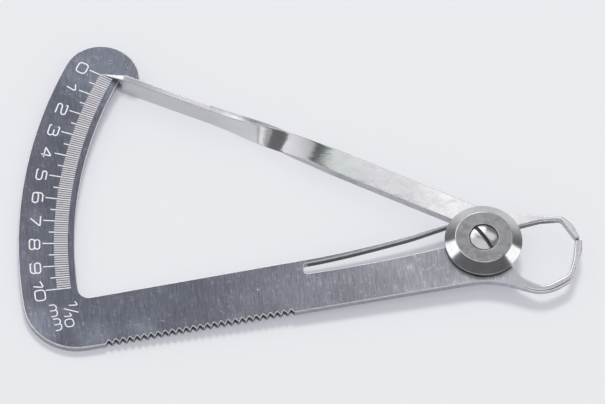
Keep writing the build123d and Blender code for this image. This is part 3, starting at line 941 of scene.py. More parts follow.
def stroke_path(corners, closed, size, radius):
    """Path of one stroke: its corners scaled to size and rounded, the sharper the less, as plan points."""
    side_share, sharpening = 0.48, 1.2
    points = np.array(corners, float) * size
    items = []
    count = len(points)
    for index in range(count) if closed else range(1, count - 1):
        before, corner, after = points[index - 1], points[index], points[(index + 1) % count]
        shortest = min(np.linalg.norm(before - corner), np.linalg.norm(after - corner))
        bend = unit(before - corner) @ unit(after - corner)
        reach = side_share * shortest * tan(np.arccos(np.clip(bend, -1, 1)) / 2)
        round_share = np.clip(1 - sharpening * bend, 0.1, 1)
        items.append(corner_arc(before, corner, after, min(radius * round_share, reach)))
    middle = outline(items, step=0.3 * MM, widest=radians(24))[0] if items else np.empty((0, 2))
    if closed:
        return middle
    return np.concatenate((points[:1], middle, points[-1:]))


def glyph_shapes(letter, centre_radius, direction, size, stroke, radius, low, high):
    """Strokes of one number or letter. Its top points to the pivot, and it reads on as the angle grows.
    Strokes that cross lie a hair apart in height."""
    hair = 0.002 * MM
    up = polar(-1, direction)
    right = polar(1, direction + pi / 2)
    middle = polar(centre_radius, direction)
    shapes = []
    for index, row in enumerate(GLYPHS[letter]):
        path = stroke_path(row[:-1], row[-1], np.array(size), radius) - np.array(size) / 2
        plan = middle + path[:, :1] * right + path[:, 1:] * up
        shapes.append(raised(plan, stroke, low, high - index * hair, row[-1]))
    return shapes


def reading_angle(plate, reading):
    """Direction of the mark for a jaw opening in millimetres: the opening is a chord at the jaws' reach."""
    return plate.scale_zero + 2 * asin(reading * MM / (2 * plate.jaw_reach))


class Net:
    """A shader node tree in the making."""

    def __init__(self, tree):
        self.nodes, self.links = tree.nodes, tree.links

    def feed(self, socket, value):
        """Feeds a socket with another socket, a plain value or a colour."""
        if isinstance(value, bpy.types.NodeSocket):
            self.links.new(value, socket)
        else:
            socket.default_value = (*value, 1) if socket.type == "RGBA" else value

    def add(self, kind, inputs, output=0, **settings):
        """Adds a node with its settings, feeds its inputs by name or number, and returns one output."""
        node = self.nodes.new("ShaderNode" + kind)
        for name, value in settings.items():
            setattr(node, name, value)
        for label, value in inputs.items():
            self.feed(node.inputs[label], value)
        return node.outputs[output]

    def mix(self, factor, below, above, blend_type="MIX"):
        """Mixes two colours by a factor."""
        return self.add("Mix", {0: factor, 6: below, 7: above}, 2, data_type="RGBA", blend_type=blend_type)

    def ramp(self, value, stops):
        """Colours between stops, each a place from 0 to 1 and a colour."""
        node = self.nodes.new("ShaderNodeValToRGB")
        self.feed(node.inputs[0], value)
        elements = node.color_ramp.elements
        elements[0].color, elements[1].color = (*stops[0][1], 1), (*stops[-1][1], 1)
        for place, shade in stops[1:-1]:
            elements.new(place).color = (*shade, 1)
        return node.outputs[0]


def new_group(name, inputs, outputs):
    """Empty shader node group with named sockets, a vector where no value is given; returns its net, what
    it gets and what it puts out."""
    group = bpy.data.node_groups.new(name, "ShaderNodeTree")
    for label, value in inputs.items():
        kind = "NodeSocketVector" if value is None else "NodeSocketFloat"
        socket = group.interface.new_socket(name=label, in_out="INPUT", socket_type=kind)
        if value is not None:
            socket.default_value = value
    for label in outputs:
        group.interface.new_socket(name=label, in_out="OUTPUT", socket_type="NodeSocketFloat")
    start, end = group.nodes.new("NodeGroupInput"), group.nodes.new("NodeGroupOutput")
    return Net(group), start.outputs, end.inputs


def scratches_group():
    """Straight scratches: noise on coordinates turned to their direction and stretched along it."""
    net, start, end = new_group(
        "straight_scratches",
        {"Vector": None, "Direction": 0, "Width": 0.2 * MM, "Length": 3 * MM, "Threshold": 0.55, "Wander": 0},
        ("Mask", "Height"),
    )
    drift = net.add("TexNoise", {"Vector": start["Vector"], "Scale": 120}, "Fac")
    swing = net.add("Math", {0: drift, 1: start["Wander"], 2: start["Direction"]}, operation="MULTIPLY_ADD")
    turn = net.add("VectorRotate", {"Vector": start["Vector"], "Angle": swing}, rotation_type="Z_AXIS")
    spread = net.add("CombineXYZ", {"X": start["Width"], "Y": start["Length"], "Z": start["Length"]})
    squeeze = net.add("VectorMath", {0: turn, 1: spread}, operation="DIVIDE")
    noise = net.add("TexNoise", {"Vector": squeeze, "Scale": 1, "Detail": 3, "Roughness": 0.65}, "Fac")
    levels = {"Value": noise, "From Min": start["Threshold"], "From Max": 0.8}
    net.feed(end["Mask"], net.add("MapRange", levels, interpolation_type="SMOOTHSTEP"))
    net.feed(end["Height"], noise)


def mottle_group():
    """Soft blotches: noise at a given size, drawn out between two levels."""
    net, start, end = new_group(
        "soft_mottle", {"Vector": None, "Size": 5 * MM, "Low": 0.35, "High": 0.65, "Detail": 4.0}, ("Mask",)
    )
    scale = net.add("Math", {0: 1, 1: start["Size"]}, operation="DIVIDE")
    grain = {"Vector": start["Vector"], "Scale": scale, "Detail": start["Detail"], "Distortion": 0.6}
    levels = {"Value": net.add("TexNoise", grain, "Fac"), "From Min": start["Low"], "From Max": start["High"]}
    net.feed(end["Mask"], net.add("MapRange", levels, interpolation_type="SMOOTHSTEP"))


def spot_group():
    """Soft round spot: one less the distance from its centre over its radius, eased."""
    net, start, end = new_group("soft_spot", {"Vector": None, "Centre": None, "Radius": 5 * MM}, ("Mask",))
    away = net.add("VectorMath", {0: start["Vector"], 1: start["Centre"]}, "Value", operation="DISTANCE")
    levels = {"Value": away, "From Max": start["Radius"], "To Min": 1, "To Max": 0}
    net.feed(end["Mask"], net.add("MapRange", levels, interpolation_type="SMOOTHSTEP"))


def rings_group():
    """Turning marks: noise along the distance from the pivot's axis, plus height."""
    net, start, end = new_group("turning_rings", {"Vector": None, "Width": 0.12 * MM}, ("Mask",))
    split = net.nodes.new("ShaderNodeSeparateXYZ")
    net.feed(split.inputs[0], start["Vector"])
    x, y, z = split.outputs
    plan = net.add("CombineXYZ", {"X": x, "Y": y})
    radius = net.add("VectorMath", {0: plan}, "Value", operation="LENGTH")
    total = net.add("Math", {0: radius, 1: z}, operation="ADD")
    count = net.add("Math", {0: total, 1: start["Width"]}, operation="DIVIDE")
    grain = {"W": count, "Scale": 1, "Detail": 2}
    net.feed(end["Mask"], net.add("TexNoise", grain, "Fac", noise_dimensions="1D"))


class Steel(Net):
    """One steel material: a Principled shader fed by groups that read object coordinates."""

    def __init__(self, name, base, roughness):
        self.material = bpy.data.materials.new(name)
        self.material.use_nodes = True
        super().__init__(self.material.node_tree)
        self.nodes.clear()
        shader = self.nodes.new("ShaderNodeBsdfPrincipled")
        self.shader = shader.inputs
        self.feed(self.nodes.new("ShaderNodeOutputMaterial").inputs["Surface"], shader.outputs[0])
        self.feed(self.shader["Base Color"], base)
        self.feed(self.shader["Metallic"], 1)
        self.feed(self.shader["Roughness"], roughness)
        self.where = self.nodes.new("ShaderNodeTexCoord").outputs["Object"]
        self.normal = None

    def place(self, group, values):
        """Places a group on object coordinates, with its own values, and returns what it puts out."""
        node = self.nodes.new("ShaderNodeGroup")
        node.node_tree = bpy.data.node_groups[group]
        self.feed(node.inputs["Vector"], self.where)
        for label, value in values.items():
            self.feed(node.inputs[label], value)
        return node.outputs

    def scratches(self, degrees, width, length, threshold, wander=0.0):
        """Scratches at an angle, with their width and length in millimetres: their mask and height."""
        size = {"Width": width * MM, "Length": length * MM}
        lie = {"Direction": radians(degrees), "Threshold": threshold, "Wander": wander}
        return self.place("straight_scratches", {**size, **lie})

    def mottle(self, size=0.8, low=0.4, high=0.7, detail=4):
        """Mask of soft blotches of a size in millimetres."""
        return self.place("soft_mottle", {"Size": size * MM, "Low": low, "High": high, "Detail": detail})[0]

    def spot(self, x, y, radius):
        """Mask of a soft spot on the frame's face, in millimetres."""
        return self.place("soft_spot", {"Centre": (x * MM, y * MM, FRAME_HIGH.z), "Radius": radius * MM})[0]

    def blend(self, below, above, mask, share=1.0):
        """Mixes two colours by a mask and a share. A single number in place of the second colour stands
        for the first one times that number."""
        weight = self.add("Math", {0: mask, 1: share}, operation="MULTIPLY")
        if isinstance(above, float):
            return self.mix(weight, below, (above,) * 3, "MULTIPLY")
        return self.mix(weight, below, above)

    def along(self, stops):
        """Colour that changes along X, by stops of place in millimetres and colour."""
        first, last = stops[0][0], stops[-1][0]
        x = self.add("SeparateXYZ", {0: self.where}, "X")
        span = self.add("MapRange", {"Value": x, "From Min": first * MM, "From Max": last * MM})
        return self.ramp(span, [((place - first) / (last - first), shade) for place, shade in stops])

    def colour(self, socket):
        """Feeds the base colour."""
        self.feed(self.shader["Base Color"], socket)

    def vary_roughness(self, mask, low, high):
        """Roughness between two levels by a mask."""
        level = self.add("MapRange", {"Value": mask, "To Min": low, "To Max": high})
        self.feed(self.shader["Roughness"], level)

    def bump(self, height, distance, strength=1.0):
        """Adds a bump of that depth in millimetres to the normal."""
        inputs = {"Strength": strength, "Distance": distance * MM, "Height": height}
        if self.normal is not None:
            inputs["Normal"] = self.normal
        self.normal = self.add("Bump", inputs)
        self.feed(self.shader["Normal"], self.normal)


def mixed(first, second, share):
    """Plain colour between two others."""
    return tuple((1 - share) * a + share * b for a, b in zip(first, second))


def darker(colour, share):
    """Colour drawn towards black."""
    return mixed(colour, BLACK, share)


def lighter(colour, share):
    """Colour drawn towards white."""
    return mixed(colour, WHITE, share)


def frame_face_steel(name, colours):
    """Satin face of the frame: dark and cross-ground at the plate, polished at the jaw and lighter along the
    body towards it, partly by the polish and partly as a painted reflection, with straight streaks across,
    curled scuffs by the slot, spots of wear at the plate's corner and bright flecks."""
    steel = Steel(name, colours.frame, 0.42)
    # Painted reflection: the tone along X is dark at the plate and grows lighter along the body towards the
    # polished jaw
    plate_tones = ((-83, mixed(colours.frame, colours.frame_jaw, 0.05)), (-76, darker(colours.frame, 0.08)))
    shares = ((-66, 0), (-50, 0.04), (-38, 0.1), (-24, 0.26), (-12, 0.48), (-6, 0.46), (1, 0.75))
    body_tones = [
        (place, mixed(colours.frame, colours.frame_jaw, share))
        for place, share in (*shares, (10, 0.8), (18, 1))
    ]
    tone = steel.along((*plate_tones, *body_tones))
    polish = steel.along(((-2, BLACK), (7, WHITE)))
    cross, cross_height = steel.scratches(-6, 0.2, 3.2, 0.44, 0.1)
    grooves = steel.scratches(-3, 0.3, 4.5, 0.46, 0.14)[0]
    curls = steel.scratches(40, 0.14, 1.6, 0.46, 5.0)[0]
    long_marks = steel.scratches(82, 0.1, 5, 0.66, 0.9)[0]
    clouds = steel.mottle(7, 0.42, 0.66, 3)
    base = steel.blend(tone, 0.5, grooves, 0.55)
    base = steel.blend(base, 1.5, clouds, 0.35)
    base = steel.blend(base, 2.3, cross, 0.46)
    base = steel.blend(base, 2.0, steel.mottle(0.8, 0.54, 0.76, 5), 0.44)
    base = steel.blend(base, colours.frame_light, long_marks, 0.5)
    base = steel.blend(base, colours.mark, steel.mottle(0.4, 0.71, 0.76, 2), 0.6)
    wear_and_shade = ((-79, -13, 7, 1.8), (-70, -17, 6, 1.6), (-62, -16, 5, 1.4), (-67, 39, 12, 1.5))
    for x, y, radius, light in wear_and_shade:
        base = steel.blend(base, light, steel.spot(x, y, radius))
    scuffed = ((-37, -9.5, 8, 1), (-43.5, -12.5, 4, 1), (-79.8, -2.5, 2.8, 1.6), (-79.6, 9, 2.4, 1.2))
    for x, y, radius, share in scuffed:
        scuff = steel.add("Math", {0: curls, 1: steel.spot(x, y, radius)}, operation="MULTIPLY")
        base = steel.blend(base, colours.frame_light, scuff, share)
    steel.colour(steel.blend(base, tone, polish, 0.8))
    steel.vary_roughness(clouds, 0.34, 0.44)
    steel.bump(cross_height, 0.008, 0.4)
    return steel.material


def side_steel(name, base, roughness):
    """Sheared and filed edge, a little darker in small blotches."""
    steel = Steel(name, base, roughness)
    steel.colour(steel.blend(base, darker(base, 0.28), steel.mottle(), 0.6))
    return steel.material


def frame_side_steel(name, side):
    """Filed side of the frame: painted shade along the plate and body, where the side mirrors the shaded
    floor, and its own brighter tone round the jaw.
    """
    steel = Steel(name, side, 0.36)
    darker_stretch = darker(side, 0.25)
    # Painted shade: the side is darker along the plate and body, as it is where it reflects the floor in the
    # frame's shadow
    tone = steel.along(((-83, darker_stretch), (-6, darker_stretch), (4, side), (18, side)))
    steel.colour(steel.blend(tone, 0.72, steel.mottle(), 0.6))
    return steel.material


def arm_face_steel(name, arm):
    """Bright polished face of the arm: faint scratches and clouds, whiter towards the pivot, and painted
    light on the twist:
    painted highlights in its middle, painted shade at its ends and a cool painted shade beside it."""
    steel = Steel(name, arm, 0.17)
    cross, cross_height = steel.scratches(62, 0.16, 2.2, 0.52, 0.25)
    clouds = steel.mottle(3.2, 0.35, 0.7, 4)
    pits = steel.mottle(0.5, 0.66, 0.8, 4)
    dim, wear_and_shade, bright, cool = darker(arm, 0.16), darker(arm, 0.06), lighter(arm, 0.42), (0.54, 0.575, 0.565)
    # Painted light on the twist: the lighter stops are painted highlights, the darker stops at -48 and -32 mm
    # and the cool stops painted shade
    twist = ((-48, wear_and_shade), (-38, lighter(arm, 0.2)), (-34, lighter(arm, 0.25)), (-32, wear_and_shade))
    shade = ((-28.5, darker(cool, 0.35)), (-25.5, cool))
    bar = ((-19, arm), (-12, arm), (-7, bright), (4, bright), (9, arm), (18, dim))
    base = steel.blend(steel.along((*twist, *shade, *bar)), dim, clouds, 0.3)
    base = steel.blend(base, dim, cross, 0.5)
    steel.colour(steel.blend(base, darker(arm, 0.45), pits, 0.45))
    steel.vary_roughness(clouds, 0.12, 0.17)
    steel.bump(cross_height, 0.006, 0.4)
    steel.bump(clouds, 0.012)
    steel.bump(pits, 0.006)
    return steel.material


def arm_side_steel(name, arm):
    """Sheared side of the arm: drawn lengthwise and bright at the blade, with painted shade along the jaw."""
    steel = Steel(name, arm, 0.4)
    side, dark = darker(arm, 0.2), darker(arm, 0.68)
    # Painted shade: the side is darkest from 6 to 12 mm, along the jaw, where its side lies in shadow
    tone = steel.along(((-50, arm), (-38, side), (0, side), (6, dark), (12, dark), (15, side)))
    base = steel.blend(tone, 0.75, steel.mottle(), 0.6)
    steel.colour(steel.blend(base, 0.5, steel.scratches(-63, 0.14, 12, 0.46)[0], 0.8))
    steel.vary_roughness(steel.along(((-50, BLACK), (-36, WHITE))), 0.2, 0.4)
    return steel.material


def blade_edge_steel(name, arm):
    """Upright blade's edges: lighter beside the twist, darker and drawn lengthwise towards the pointer."""
    steel = Steel(name, arm, 0.2)
    darker_stretch = darker(arm, 0.36)
    tone = steel.along(((-70, darker_stretch), (-60, darker_stretch), (-53, arm), (-44, arm)))
    steel.colour(steel.blend(tone, 0.4, steel.scratches(-65, 0.16, 9, 0.5)[0], 0.85))
    return steel.material


def turned_steel(name, base, roughness, anisotropy, clouding=0.4):
    """Turned steel: fine rings about the pivot, with the sheen drawn out across them."""
    steel = Steel(name, base, roughness)
    rings = steel.place("turning_rings", {"Width": 0.09 * MM})[0]
    dim = darker(base, 0.35)
    ringed = steel.blend(base, dim, rings, 0.5)
    steel.colour(steel.blend(ringed, dim, steel.mottle(1.4, 0.35, 0.75, 5), clouding))
    steel.feed(steel.shader["Anisotropic"], anisotropy)
    steel.feed(steel.shader["Anisotropic Rotation"], 0.25)
    steel.feed(steel.shader["Tangent"], steel.add("Tangent", {}, direction_type="UV_MAP", uv_map="around"))
    steel.bump(rings, 0.004, 0.5)
    return steel.material


def mark_metal(name, base, wear_and_shade):
    """Bright bottom of the engraved marks, a little uneven."""
    steel = Steel(name, base, 0.5)
    steel.feed(steel.shader["Metallic"], 0.15)
    steel.feed(steel.shader["Specular IOR Level"], 0.2)
    steel.colour(steel.blend(base, wear_and_shade, steel.mottle(0.5, 0.45, 0.8, 3), 0.4))
    return steel.material


def made(name, maker, *arguments):
    """Material of that name, made the first time that it is asked for."""
    return bpy.data.materials.get(name) or maker(name, *arguments)


def frame_finishes(colours):
    """Materials of the frame's faces, broken edges, sides, notches darkened with painted shade, and jaw rims.
    """
    return [
        made("frame_face_steel", frame_face_steel, colours),
        made("frame_rim_steel", side_steel, lighter(colours.frame_side, 0.55), 0.34),
        made("frame_side_steel", frame_side_steel, colours.frame_side),
        # Painted shade: the notch walls are nearly black, as the shaded hollows of the serration are
        made("notch_shade_steel", side_steel, darker(colours.frame_side, 0.8), 0.45),
        made("jaw_rim_steel", side_steel, lighter(colours.arm, 0.25), 0.24),
    ]


def arm_finishes(colours):
    """Materials of the arm's faces, broken edges, sides, blade edges and jaw rims."""
    return [
        made("arm_face_steel", arm_face_steel, colours.arm),
        made("arm_rim_steel", side_steel, colours.arm, 0.2),
        made("arm_side_steel", arm_side_steel, colours.arm),
        made("blade_edge_steel", blade_edge_steel, colours.arm),
        made("jaw_rim_steel", side_steel, lighter(colours.arm, 0.25), 0.24),
    ]


class CALIPER_OT_materials(bpy.types.Operator):
    """Makes the shared effects that the steel finishes use"""

    bl_idname = "caliper.materials"
    bl_label = "Shared effects"

    def execute(self, context):
        scratches_group()
        mottle_group()
        spot_group()
        rings_group()
        return {"FINISHED"}


class CALIPER_OT_scale_frame(bpy.types.Operator):
    """Makes the frame: plate, body, serration, lug and lower jaw"""

    bl_idname = "caliper.scale_frame"
    bl_label = "Scale frame"

    def execute(self, context):
        scene = context.scene
        plate, body, arm = scene.caliper_plate, scene.caliper_body, scene.caliper_arm
        low, high = FRAME_LOW.z, FRAME_HIGH.z
        lap = low + arm.lug
        growth = jaw_growth(arm.jaw_softness)
        lug_loops = [frame_outline(plate, body, arm, True), circle_loop(arm.bore, True)]
        lug = sheet(lug_loops, low, lap, body.edge_round, 0, growth)
        top = sheet([frame_outline(plate, body, arm, False)], lap, high, 0, body.edge_round, growth)
        make_piece(
            "frame_sheet",
            with_jaw(with_notches(joined([lug, top]), body), FRAME_JAW_START),
            frame_finishes(scene.caliper_colours),
            "frame",
            ["scale_frame"],
        )
        return {"FINISHED"}


class CALIPER_OT_spring_leaf(bpy.types.Operator):
    """Makes the spring leaf, which bends from its root in the frame to its tip on the arm"""

    bl_idname = "caliper.spring_leaf"
    bl_label = "Spring leaf"

    def execute(self, context):
        scene = context.scene
        body, arm = scene.caliper_body, scene.caliper_arm
        shape = sheet([leaf_outline(body, arm)], FRAME_LOW.z, FRAME_HIGH.z, body.edge_round, body.edge_round)
        colours = scene.caliper_colours
        face, rim = frame_finishes(colours)[:2]
        # Painted shade: the leaf's sides are nearly black, as side walls lying in shadow are
        side = made("leaf_side_shade_steel", side_steel, darker(colours.frame_side, 0.8), 0.3)
        piece = make_piece("leaf_spring", shape, [face, rim, side], None, ["spring_leaf"])
        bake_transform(piece)
        return {"FINISHED"}


class CALIPER_OT_scale_marks(bpy.types.Operator):
    """Makes the marks of the scale, one for each tenth of a millimetre"""

    bl_idname = "caliper.scale_marks"
    bl_label = "Scale marks"

    def execute(self, context):
        scene = context.scene
        plate = scene.caliper_plate
        low = FRAME_HIGH.z - plate.mark_rise
        fine_rise = 0.8 * plate.mark_rise
        shapes = []
        for tenth in range(10 * plate.full_reading + 1):
            fine = tenth % 5 != 0
            rise, width = (fine_rise, plate.fine_width) if fine else (plate.mark_rise, plate.mark_width)
            end = plate.fine_end if fine else plate.half_end if tenth % 10 else plate.whole_end
            direction = reading_angle(plate, tenth / 10)
            path = np.stack((polar(plate.fine_start, direction), polar(end, direction)))
            mark = raised(path, width, low, FRAME_HIGH.z + rise, False)
            shapes.append(mark._replace(kinds=[RIM] * len(mark.kinds)) if fine else mark)
        colours = scene.caliper_colours
        finishes = [
            made("mark_metal", mark_metal, colours.mark, colours.frame_light),
            made("fine_mark_metal", mark_metal, colours.fine_mark, colours.frame_light),
        ]
        make_piece("scale_marks", joined(shapes), finishes, "frame", [], smooth=False)
        return {"FINISHED"}


class CALIPER_OT_numbers(bpy.types.Operator):
    """Makes the numbers of the scale and its unit"""

    bl_idname = "caliper.numbers"
    bl_label = "Numbers and unit"

    def execute(self, context):
        scene = context.scene
        plate = scene.caliper_plate
        low = FRAME_HIGH.z - plate.mark_rise
        high = FRAME_HIGH.z + plate.mark_rise
        size = (plate.digit_width, plate.digit_height)
        small_stroke = 0.85 * plate.digit_stroke
        corner = 0.55 * MM
        shapes = []
        for reading in range(plate.full_reading):
            direction = reading_angle(plate, reading) + plate.digit_lead
            shapes += glyph_shapes(
                str(reading), plate.digit_radius, direction, size, plate.digit_stroke, corner, low, high
            )
        last = (
            ("1", plate.digit_radius - 0.2 * MM, 184.0, size),
            ("0", plate.digit_radius - 0.3 * MM, 185.3, size),
            ("m", 77.7 * MM, 187.75, (2.3 * MM, 1.2 * MM)),
            ("m", 77.5 * MM, 189.85, (2.3 * MM, 1.2 * MM)),
            ("1", 74.05 * MM, 187.35, (1.3 * MM, 1.6 * MM)),
            ("/", 74.6 * MM, 188.15, (1.15 * MM, 2.4 * MM)),
            ("1", 75.35 * MM, 188.9, (1.2 * MM, 1.4 * MM)),
            ("0", 75.4 * MM, 189.95, (1.5 * MM, 1.5 * MM)),
        )
        for letter, radius, degrees, box in last:
            stroke = plate.digit_stroke if box is size else small_stroke
            shapes += glyph_shapes(letter, radius, radians(degrees), box, stroke, corner, low, high)
        colours = scene.caliper_colours
        material = made("mark_metal", mark_metal, colours.mark, colours.frame_light)
        make_piece("numbers", joined(shapes), [material], "frame", [], smooth=False)
        return {"FINISHED"}


class CALIPER_OT_pointer_arm(bpy.types.Operator):
    """Makes the pointer arm: hub and upper jaw, twisted strip, blade, pointer and lip"""

    bl_idname = "caliper.pointer_arm"
    bl_label = "Pointer arm"

    def execute(self, context):
        scene = context.scene
        arm, plate = scene.caliper_arm, scene.caliper_plate
        low = FRAME_LOW.z
        lap = low + arm.lug + arm.lug_play
        high = low + arm.sheet
        upper, lower_bar, lower_jaw = arm_outlines(arm)
        growth = jaw_growth(arm.jaw_softness, start=ARM_JAW_START)
        flat = [
            sheet([upper, circle_loop(arm.bore, True)], lap, high, 0, arm.edge_round, growth),
            sheet([lower_bar], low, lap, arm.edge_round, 0),
            sheet([lower_jaw], low + arm.jaw_relief, lap, arm.edge_round, 0, growth),
        ]
        flat = [with_jaw(shape, ARM_JAW_START) for shape in flat]
        twist, twist_end = arm_strip(arm, low)
        blade = blade_shapes(arm, twist_end, FRAME_LOW.z, FRAME_HIGH.z, plate.inner_radius)
        finishes = arm_finishes(scene.caliper_colours)
        strip = joined([*flat, twist, *blade])
        piece = make_piece("arm_strip", strip, finishes, "arm", ["pointer_arm"])
        piece.visible_shadow = False
        return {"FINISHED"}


class CALIPER_OT_pivot_cap(bpy.types.Operator):
    """Makes the turned cap over the pivot"""

    bl_idname = "caliper.pivot_cap"
    bl_label = "Pivot cap"

    def execute(self, context):
        scene = context.scene
        pivot = scene.caliper_pivot
        bore = pivot.shank + pivot.fit
        low, high, radius = CAP_LOW.z, CAP_HIGH.z, CAP_HIGH.x
        floor = high - pivot.recess_depth
        soft = pivot.edge_round
        corners = (
            (bore, low, soft / 4),
            (radius, low, soft),
            (radius, low + pivot.cap_rim, soft),
            (pivot.cap_face, high, pivot.face_round),
            (pivot.recess_radius, high, soft),
            (pivot.recess_radius, floor, soft / 2),
            (bore, floor, soft / 4),
        )
        colour = scene.caliper_colours.cap
        finishes = [
            made("cap_face_steel", turned_steel, darker(colour, 0.4), 0.26, 0.2, 1.0),
            made("cone_steel", turned_steel, colour, 0.16, 0.3),
        ]
        make_turned("cap_cone", turned(*turned_profile(corners)), finishes, "pivot_cap")
        return {"FINISHED"}


def head_half(radius, side, low, crown, dome, edge, sign):
    """Half of a slotted head: a D outline drawn in from its broken edge to its middle in steps, each point
    at the dome's height, which is the crown less the drop of a sphere."""
    chord_share, chord_points = 0.88, 15
    edge_rings, dome_rings, dome_share = 5, 7, 0.98
    reach = sqrt(radius**2 - side**2)
    foot, right, left = (np.array((x, side)) for x in (0, reach, -reach))
    chord = np.linspace(-chord_share, chord_share, chord_points) * reach
    items = [
        *(Spot(np.array((x, side)), -pi / 2) for x in chord),
        corner_arc(foot, right, right + unit(np.array((-side, reach))), edge),
        arc_between(PIVOT, radius, right + (0, edge), left + (0, edge), 1),
        corner_arc(left + unit(np.array((side, reach))), left, foot, edge),
    ]
    points, ways, limits = outline(items, step=0.2 * MM)
    turns = np.linspace(pi / 2, 0, edge_rings)
    insets = np.concatenate((np.zeros(1), edge * (1 - np.sin(turns)), np.full(dome_rings, edge)))
    draws = np.concatenate((np.zeros(1 + edge_rings), np.linspace(0, dome_share, dome_rings + 1)[1:]))
    drops = np.concatenate((np.full(1, np.inf), edge * (1 - np.cos(turns)), np.zeros(dome_rings)))
    middle = np.array((0, (side + radius) / 2))
    plan = points[None] - ways[None] * np.minimum(insets[:, None], DRAW_SHARE * limits[None])[..., None]
    plan = plan + (middle - plan) * draws[:, None, None]
    square = (plan**2).sum(axis=2)
    tall = crown - dome + np.sqrt(dome**2 - square) - drops[:, None]
    tall[0] = low
    plan = plan * sign
    vertices = np.concatenate((plan, tall[..., None]), axis=2)
    normals = grid_normals(vertices)
    normals[0, :, 2] = 0
    faces = grid_faces(len(plan), len(points), True).tolist()
    last = (len(plan) - 1) * len(points)
    faces.append([last + index for index in range(len(points))])
    faces.append(list(range(len(points)))[::-1])
    return Shape(vertices.reshape(-1, 3), normals.reshape(-1, 3), faces, [RIM] * len(faces))


class CALIPER_OT_pivot_screw(bpy.types.Operator):
    """Makes the slotted screw with its domed head"""

    bl_idname = "caliper.pivot_screw"
    bl_label = "Pivot screw"

    def execute(self, context):
        scene = context.scene
        pivot = scene.caliper_pivot
        radius, crown = SCREW_HIGH.x + pivot.head_spread, SCREW_HIGH.z
        seat = CAP_HIGH.z - pivot.recess_depth
        rise = crown - seat - pivot.head_side
        dome = (radius**2 + rise**2) / (2 * rise)
        floor = crown - pivot.slot_depth
        soft = pivot.edge_round / 2
        sizes = (radius, pivot.slot_width / 2, floor, crown, dome, pivot.edge_round)
        halves = [head_half(*sizes, sign) for sign in (1, -1)]
        base_corners = (
            (AXIS, SCREW_LOW.z),
            (pivot.shank, SCREW_LOW.z, soft),
            (pivot.shank, seat, soft / 4),
            (radius, seat, soft),
            (radius, floor, soft / 8),
            (AXIS, floor),
        )
        base = turned(*turned_profile(base_corners, True), True, count=96)
        spin = np.array(Matrix.Rotation(pivot.slot_angle, 3, "Z")).T
        shapes = [
            half._replace(vertices=half.vertices @ spin, normals=half.normals @ spin) for half in halves
        ]
        colour = scene.caliper_colours.cap
        finishes = [
            # The slot's floor is dark partly as dirt and partly as painted shade in the deep, narrow slot
            made("slot_dirt_and_shade_steel", side_steel, darker(colour, 0.85), 0.5),
            made("screw_steel", turned_steel, colour, 0.2, 0.3),
        ]
        make_turned("screw_head", joined([*shapes, base]), finishes, "pivot_screw")
        return {"FINISHED"}


class CALIPER_OT_pivot_bush(bpy.types.Operator):
    """Makes the sleeve that the arm turns on"""

    bl_idname = "caliper.pivot_bush"
    bl_label = "Pivot bush"

    def execute(self, context):
        scene = context.scene
        pivot = scene.caliper_pivot
        bore = pivot.shank + pivot.fit
        soft = pivot.edge_round / 2
        corners = (
            (bore, BUSH_LOW.z, soft),
            (BUSH_HIGH.x, BUSH_LOW.z, soft),
            (BUSH_HIGH.x, BUSH_HIGH.z, soft),
            (bore, BUSH_HIGH.z, soft),
        )
        steel = made("sleeve_steel", turned_steel, scene.caliper_colours.cap, 0.3, 0.3)
        shape = turned(*turned_profile(corners), count=96)
        make_turned("bush_sleeve", shape, [steel], "pivot_bush")
        return {"FINISHED"}


class CALIPER_OT_back_nut(bpy.types.Operator):
    """Makes the round nut behind the frame, with its raised seat and blind bore"""

    bl_idname = "caliper.back_nut"
    bl_label = "Back nut"

    def execute(self, context):
        scene = context.scene
        pivot = scene.caliper_pivot
        thread_play = 0.02 * MM
        bore = pivot.shank + thread_play
        radius, low, high = NUT_HIGH.x, NUT_LOW.z, NUT_HIGH.z
        shoulder = high - pivot.seat_height
        soft = pivot.edge_round
        bevel = 0.4 * MM
        corners = (
            (AXIS, low),
            (radius - bevel, low, soft),
            (radius, low + bevel, soft),
            (radius, shoulder - bevel, soft),
            (radius - bevel, shoulder, soft),
            (pivot.seat_radius, shoulder, soft / 2),
            (pivot.seat_radius, high, soft / 2),
            (bore, high, soft / 4),
            (bore, pivot.thread_floor, soft / 8),
            (AXIS, pivot.thread_floor),
        )
        steel = made("nut_steel", turned_steel, scene.caliper_colours.cap, 0.28, 0.6)
        shape = turned(*turned_profile(corners, True), True)
        make_turned("nut_round", shape, [steel], "back_nut")
        return {"FINISHED"}


class CALIPER_OT_stage(bpy.types.Operator):
    """Makes the pale floor, the soft lamps, the world and the camera"""

    bl_idname = "caliper.stage"
    bl_label = "Stage"

    def execute(self, context):
        scene = context.scene
        sizes = scene.caliper_stage
        make_floor(sizes, scene.caliper_colours)
        make_world(scene, scene.caliper_colours)
        for lamp in LAMPS:
            make_lamp(scene, sizes.turn, *lamp)
        make_camera(scene, sizes)
        scene.view_settings.view_transform = "Standard"
        return {"FINISHED"}


